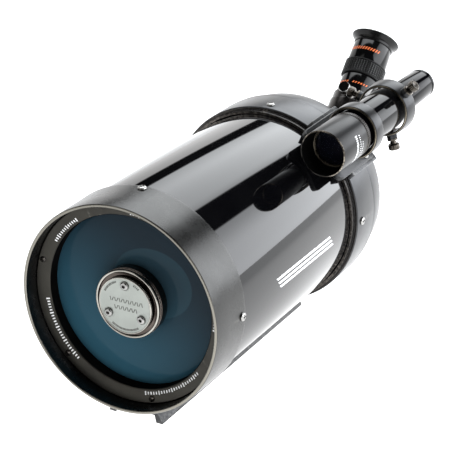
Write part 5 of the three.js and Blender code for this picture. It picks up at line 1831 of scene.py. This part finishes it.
@dataclass
class Finder:
    """The finder: objective cell, tube, lock ring and its own small eyepiece."""

    axis: Placement
    cell: float = 17.5
    cell_front: float = 157.8
    cell_back: float = 198.5
    thread: float = 16.6
    bore: float = 15.6
    mouth: float = 16.7
    lens_front: float = 175.8
    lens_back: float = 180.8
    aperture: float = 15.3
    tube: float = 16.3
    tube_front: float = 185.5
    tube_back: float = 281.0
    eye: float = 12.0
    eye_back: float = 339.5

    def build(self) -> None:
        """Makes every piece of the finder."""
        self.objective()
        self.tubes()
        self.lock_ring()

    def objective(self) -> None:
        """The satin cell, its lens, the thin ring on the lens and a few printed ticks."""
        outline = [(self.cell - 0.7, self.cell_front), (self.cell, self.cell_front + 0.7),
                   (self.cell, self.cell_back - 0.6), (self.cell - 0.6, self.cell_back),
                   (self.thread, self.cell_back), (self.thread, self.tube_front - 1.5),
                   (14.0, self.tube_front - 1.5),
                   (14.0, self.lens_back + 0.3), (self.bore, self.lens_back + 0.3),
                   (self.bore, self.lens_front - 3.0),
                   (self.mouth, self.lens_front - 7.0), (self.mouth, self.cell_front + 0.3),
                   (self.mouth + 0.2, self.cell_front)]
        show("finder_cell", turned(eased(outline, 0.3, 2), 144), self.axis, FINDER_SATIN, "finder_objective",
             "finder_objective_cell")
        lining = [(self.mouth - 0.02, self.cell_front + 0.5), (self.mouth - 0.02, self.lens_front - 7.0),
                  (self.bore - 0.02, self.lens_front - 3.0), (self.bore - 0.02, self.lens_front - 2.1),
                  (self.bore - 0.14, self.lens_front - 2.1), (self.bore - 0.14, self.lens_front - 3.1),
                  (self.mouth - 0.16, self.lens_front - 7.1), (self.mouth - 0.16, self.cell_front + 0.5)]
        show("finder_cell_lining", turned(lining, 120), self.axis, DEAD_BLACK, "finder_objective",
             slot=Slot.POWDER_COAT)
        lip = [(self.cell - 0.75, self.cell_front + 0.3), (self.cell - 0.7, self.cell_front - 0.03),
               (self.cell - 0.3, self.cell_front + 0.15), (self.cell + 0.02, self.cell_front + 0.6),
               (self.cell - 0.4, self.cell_front + 0.6)]
        show("finder_cell_lip", turned(lip, 144), self.axis, GUNMETAL, "finder_objective",
             slot=Slot.POWDER_COAT)
        reach = self.aperture
        lens = [(0.0, self.lens_front), (reach * 0.35, self.lens_front + 0.15),
                (reach * 0.7, self.lens_front + 0.7),
                (reach, self.lens_front + 1.5), (reach, self.lens_back - 1),
                (reach * 0.6, self.lens_back - 0.3),
                (0.0, self.lens_back)]
        show("finder_lens", turned(lens, 96), self.axis, LENS_GLASS, "finder_objective",
             "finder_objective_lens")
        back = self.lens_front + 0.1
        thin = [(reach, back - 2.0), (reach, back), (reach - 1.5, back), (reach - 1.5, back - 0.9),
                (reach - 0.6, back - 2.0)]
        show("finder_lens_retainer", turned(eased(thin, 0.15, 2), 120), self.axis, WARM_EDGE,
             "finder_objective",
             "finder_lens_ring")
        ticks = []
        for index in range(18):
            degrees = 16.0 + 92.0 * index / 17
            ticks.append(self.tick(degrees, 180.6, 1.5 if index % 4 == 0 else 1.1, 0.5))
            ticks.append(self.tick(degrees + 2, 185.6, 0.6, 0.32))
            if 3 < index < 15:
                ticks.append(self.tick(degrees, 189.2, 0.55, 0.3))
        show("finder_cell_scale", merged(ticks), self.axis, WHITE_PRINT, "finder_objective",
             slot=Slot.POWDER_COAT)

    def tick(self, degrees: float, station: float, half: float, width: float) -> bmesh.types.BMesh:
        """One printed stroke on the cell's round."""
        stroke = block((-width, width), (station - half, station + half), (self.cell - 0.1, self.cell + 0.05))
        return swung(stroke, "Y", degrees)

    def tubes(self) -> None:
        """The gloss main tube, the eyepiece tube and its lens."""
        bore = self.tube - 1.4
        socket = self.eye + 0.3
        main = [(bore, self.tube_front), (self.tube, self.tube_front), (self.tube, self.tube_back - 2.5),
                (self.eye + 2.4, self.tube_back - 0.3), (self.eye + 1.6, self.tube_back),
                (socket, self.tube_back),
                (socket, self.tube_back - 14), (bore, self.tube_back - 17)]
        show("finder_main_tube", turned(eased(main, 0.4, 3), 144), self.axis, FINDER_GLOSS, "finder",
             "finder_tube")
        inner = self.eye - 1.5
        eye = [(inner, self.tube_back - 13), (self.eye, self.tube_back - 13), (self.eye, self.eye_back - 6.0),
               (self.eye - 0.3, self.eye_back - 5.7), (self.eye - 0.3, self.eye_back - 5.2),
               (self.eye, self.eye_back - 4.9),
               (self.eye, self.eye_back - 2), (self.eye - 0.6, self.eye_back - 0.6),
               (self.eye - 2, self.eye_back),
               (7.4, self.eye_back), (7.0, self.eye_back - 0.5), (7.0, self.eye_back - 2.4),
               (inner, self.eye_back - 2.4)]
        show("finder_eye_tube", turned(eased(eye, 0.25, 2), 120), self.axis, EYE_TUBE_GLOSS, "finder",
             "finder_eyepiece_tube")
        reach = inner - 0.3
        lens = [(0.0, self.eye_back - 6.8), (reach, self.eye_back - 5.8), (reach, self.eye_back - 3.2),
                (reach * 0.5, self.eye_back - 2.75), (0.0, self.eye_back - 2.6)]
        show("finder_eye_glass", turned(lens, 72), self.axis, LENS_GLASS, "finder", "finder_eye_lens")

    def lock_ring(self) -> None:
        """The knurled ring that locks the focus."""
        front, back = self.cell_back + 0.3, self.cell_back + 4.8
        radius = self.cell - 0.2

        def knurl(reach: float, station: float, angle: float) -> float:
            """The ring's radius with its knurl."""
            inside = front + 0.6 < station < back - 0.6
            return reach - 0.3 * (0.5 + 0.5 * math.cos(72 * angle)) if reach > radius - 0.1 and inside else reach

        outline = [(self.thread, front), (radius - 0.3, front), (radius, front + 0.3), (radius, front + 0.8),
                   (radius, back - 0.8), (radius, back - 0.3), (radius - 0.3, back), (self.thread, back)]
        show("finder_lock", turned(outline, 288, knurl), self.axis, ANODISED, "finder_lock_ring",
             "finder_lock_ring")


# ------------------------------------------------------------------------------ studio
@dataclass
class Camera:
    """The camera: where it stands, what it looks at and its slight roll."""

    place: tuple[float, float, float] = (0.56406, -1.02005, 0.60704)
    target: tuple[float, float, float] = (0.01737, -0.01175, 0.1147)
    roll: float = -0.35
    lens: float = 138.17
    sensor: float = 36.0

    def build(self) -> None:
        """Adds the camera and makes it the scene's."""
        data = bpy.data.cameras.new("camera")
        data.lens = self.lens
        data.sensor_width = self.sensor
        data.clip_start = 0.05
        data.clip_end = 60.0
        camera = bpy.data.objects.new("camera", data)
        bpy.context.scene.collection.objects.link(camera)
        place = Vector(self.place)
        ahead = (Vector(self.target) - place).normalized()
        level = ahead.cross(Vector((0, 0, 1))).normalized()
        upright = level.cross(ahead)
        roll = math.radians(self.roll)
        right = level * math.cos(roll) - upright * math.sin(roll)
        up = level * math.sin(roll) + upright * math.cos(roll)
        turn = Matrix((right, up, -ahead)).transposed().to_4x4()
        camera.matrix_world = Matrix.Translation(place) @ turn
        bpy.context.scene.camera = camera


@dataclass(frozen=True)
class SoftBox:
    """One soft light, as a patch of the studio's sky seen round the telescope's axis."""

    around: Span
    along: Span
    power: float
    tint: Colour = (1.0, 1.0, 1.0)
    side_edges: float = 1.2
    fades: tuple[Span, ...] = ()


@dataclass
class Studio:
    """A white floor that glows a little, and a sky of soft boxes with dark gaps between them."""

    boxes: tuple[SoftBox, ...] = (
        SoftBox((-46.0, 12.0), (-0.12, 0.97), 5.0, (0.945, 0.975, 1.0), fades=((20.0, 2.0), (-50.0, -24.0))),
        SoftBox((40.0, 102.0), (-0.3, 0.97), 6.1, (0.94, 0.965, 1.0), fades=((38.0, 66.0), (116.0, 82.0))),
        SoftBox((-180.0, -62.0), (-0.1, 0.97), 1.7),
        SoftBox((-180.0, -10.0), (-0.99, -0.5), 0.9, (1.0, 0.98, 0.95)),
        SoftBox((40.0, 180.0), (-0.99, -0.6), 0.7, (1.0, 0.98, 0.95)),
    )
    ambient: float = 0.01
    floor_glow: float = 1.5
    floor_dim: float = 0.5
    floor_white: float = 0.5
    floor_half: float = 9.0

    def build(self) -> None:
        """Sets the sky, the floor and the picture's tone curve."""
        self.sky()
        self.floor()
        bpy.context.scene.view_settings.view_transform = "Standard"

    def sky(self) -> None:
        """The soft boxes, painted on the sky by direction."""
        world = bpy.data.worlds.new("studio")
        world.use_nodes = True
        bpy.context.scene.world = world
        shader = Shader(world.node_tree)
        x, y, z = shader.split(shader.node("ShaderNodeTexCoord").tap("Generated"))
        around = x.atan2(z) * (180.0 / math.pi)
        colour = shader.mix(0.0, (self.ambient,) * 3, (0.0, 0.0, 0.0))
        for box in self.boxes:
            mask = around.within(*box.around, box.side_edges) * y.within(*box.along, 0.02)
            for span in box.fades:
                mask = mask * (around.rise(*span) * 0.45 + 0.55)
            lit = tuple(box.power * part for part in box.tint)
            colour = shader.mix(mask, colour, lit)
        light = shader.node("ShaderNodeBackground", sockets={"Color": colour, "Strength": 1.0}).tap(0)
        shader.node("ShaderNodeOutputWorld", sockets={"Surface": light})

    def floor(self) -> None:
        """The pale floor under the bar."""
        half = self.floor_half
        mesh = bmesh.new()
        corners = [mesh.verts.new((x, y, -0.0004)) for x,
                   y in ((-half, -half), (half, -half), (half, half), (-half, half))]
        mesh.faces.new(corners)
        data = bpy.data.meshes.new("studio_floor")
        mesh.to_mesh(data)
        mesh.free()
        floor = bpy.data.objects.new("studio_floor", data)
        bpy.context.scene.collection.objects.link(floor)
        material = bpy.data.materials.new("studio_floor")
        material.use_nodes = True
        shader = Shader(material.node_tree)
        x, _, _ = shader.split(shader.place())
        far = (x.rise(0.35, 0.75) + x.rise(-0.02, -0.12)).least(1.0)
        glow = shader.mix(far, (1.0, 1.0, 1.0), (self.floor_dim,) * 3)
        surface = {"Base Color": (self.floor_white,) * 3, "Roughness": 0.9, "Emission Color": glow,
                   "Emission Strength": self.floor_glow}
        body = shader.node("ShaderNodeBsdfPrincipled", sockets=surface).tap(0)
        shader.node("ShaderNodeOutputMaterial", sockets={"Surface": body})
        data.materials.append(material)


# ------------------------------------------------------------------------------ assembly
@dataclass
class Telescope:
    """The whole instrument: its frames and the order in which its parts are built."""

    finder_lean: float = 45.0
    bend: float = 341.9
    parts: list[Any] = field(default_factory=list)

    def frames(self) -> tuple[Placement, Placement, Placement]:
        """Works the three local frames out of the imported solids.

        Returns:
            The tube's frame, the eyepiece's and the finder's.
        """
        low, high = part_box("optical_tube")
        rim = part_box("front_cell")[0][1]
        tube = Placement(Matrix.Translation(((low[0] + high[0]) / 2, rim, (low[2] + high[2]) / 2)))
        eyepiece = tube.moved(y=self.bend).tipped(45)
        low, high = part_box("finder_tube")
        centre = Matrix.Translation(((low[0] + high[0]) / 2, rim, (low[2] + high[2]) / 2))
        return tube, eyepiece, Placement(centre).spun(self.finder_lean)

    def build(self) -> None:
        """Builds every sub-assembly in order."""
        tube, eyepiece, finder = self.frames()
        self.parts = [FrontCell(tube), Secondary(tube), OpticalTube(tube), RearCell(tube), VisualBack(tube),
                      Diagonal(tube, eyepiece), Eyepiece(eyepiece), DovetailBar(tube), FinderBracket(finder),
                      Finder(finder)]
        for part in self.parts:
            LOG.info("building %s", type(part).__name__)
            part.build()


def main() -> None:
    """Builds the camera, the telescope and the studio."""
    logging.basicConfig(level=logging.INFO, format="%(name)s %(message)s")
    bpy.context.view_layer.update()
    Camera().build()
    Telescope().build()
    Studio().build()
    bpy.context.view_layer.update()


if __name__ == "__main__":
    main()
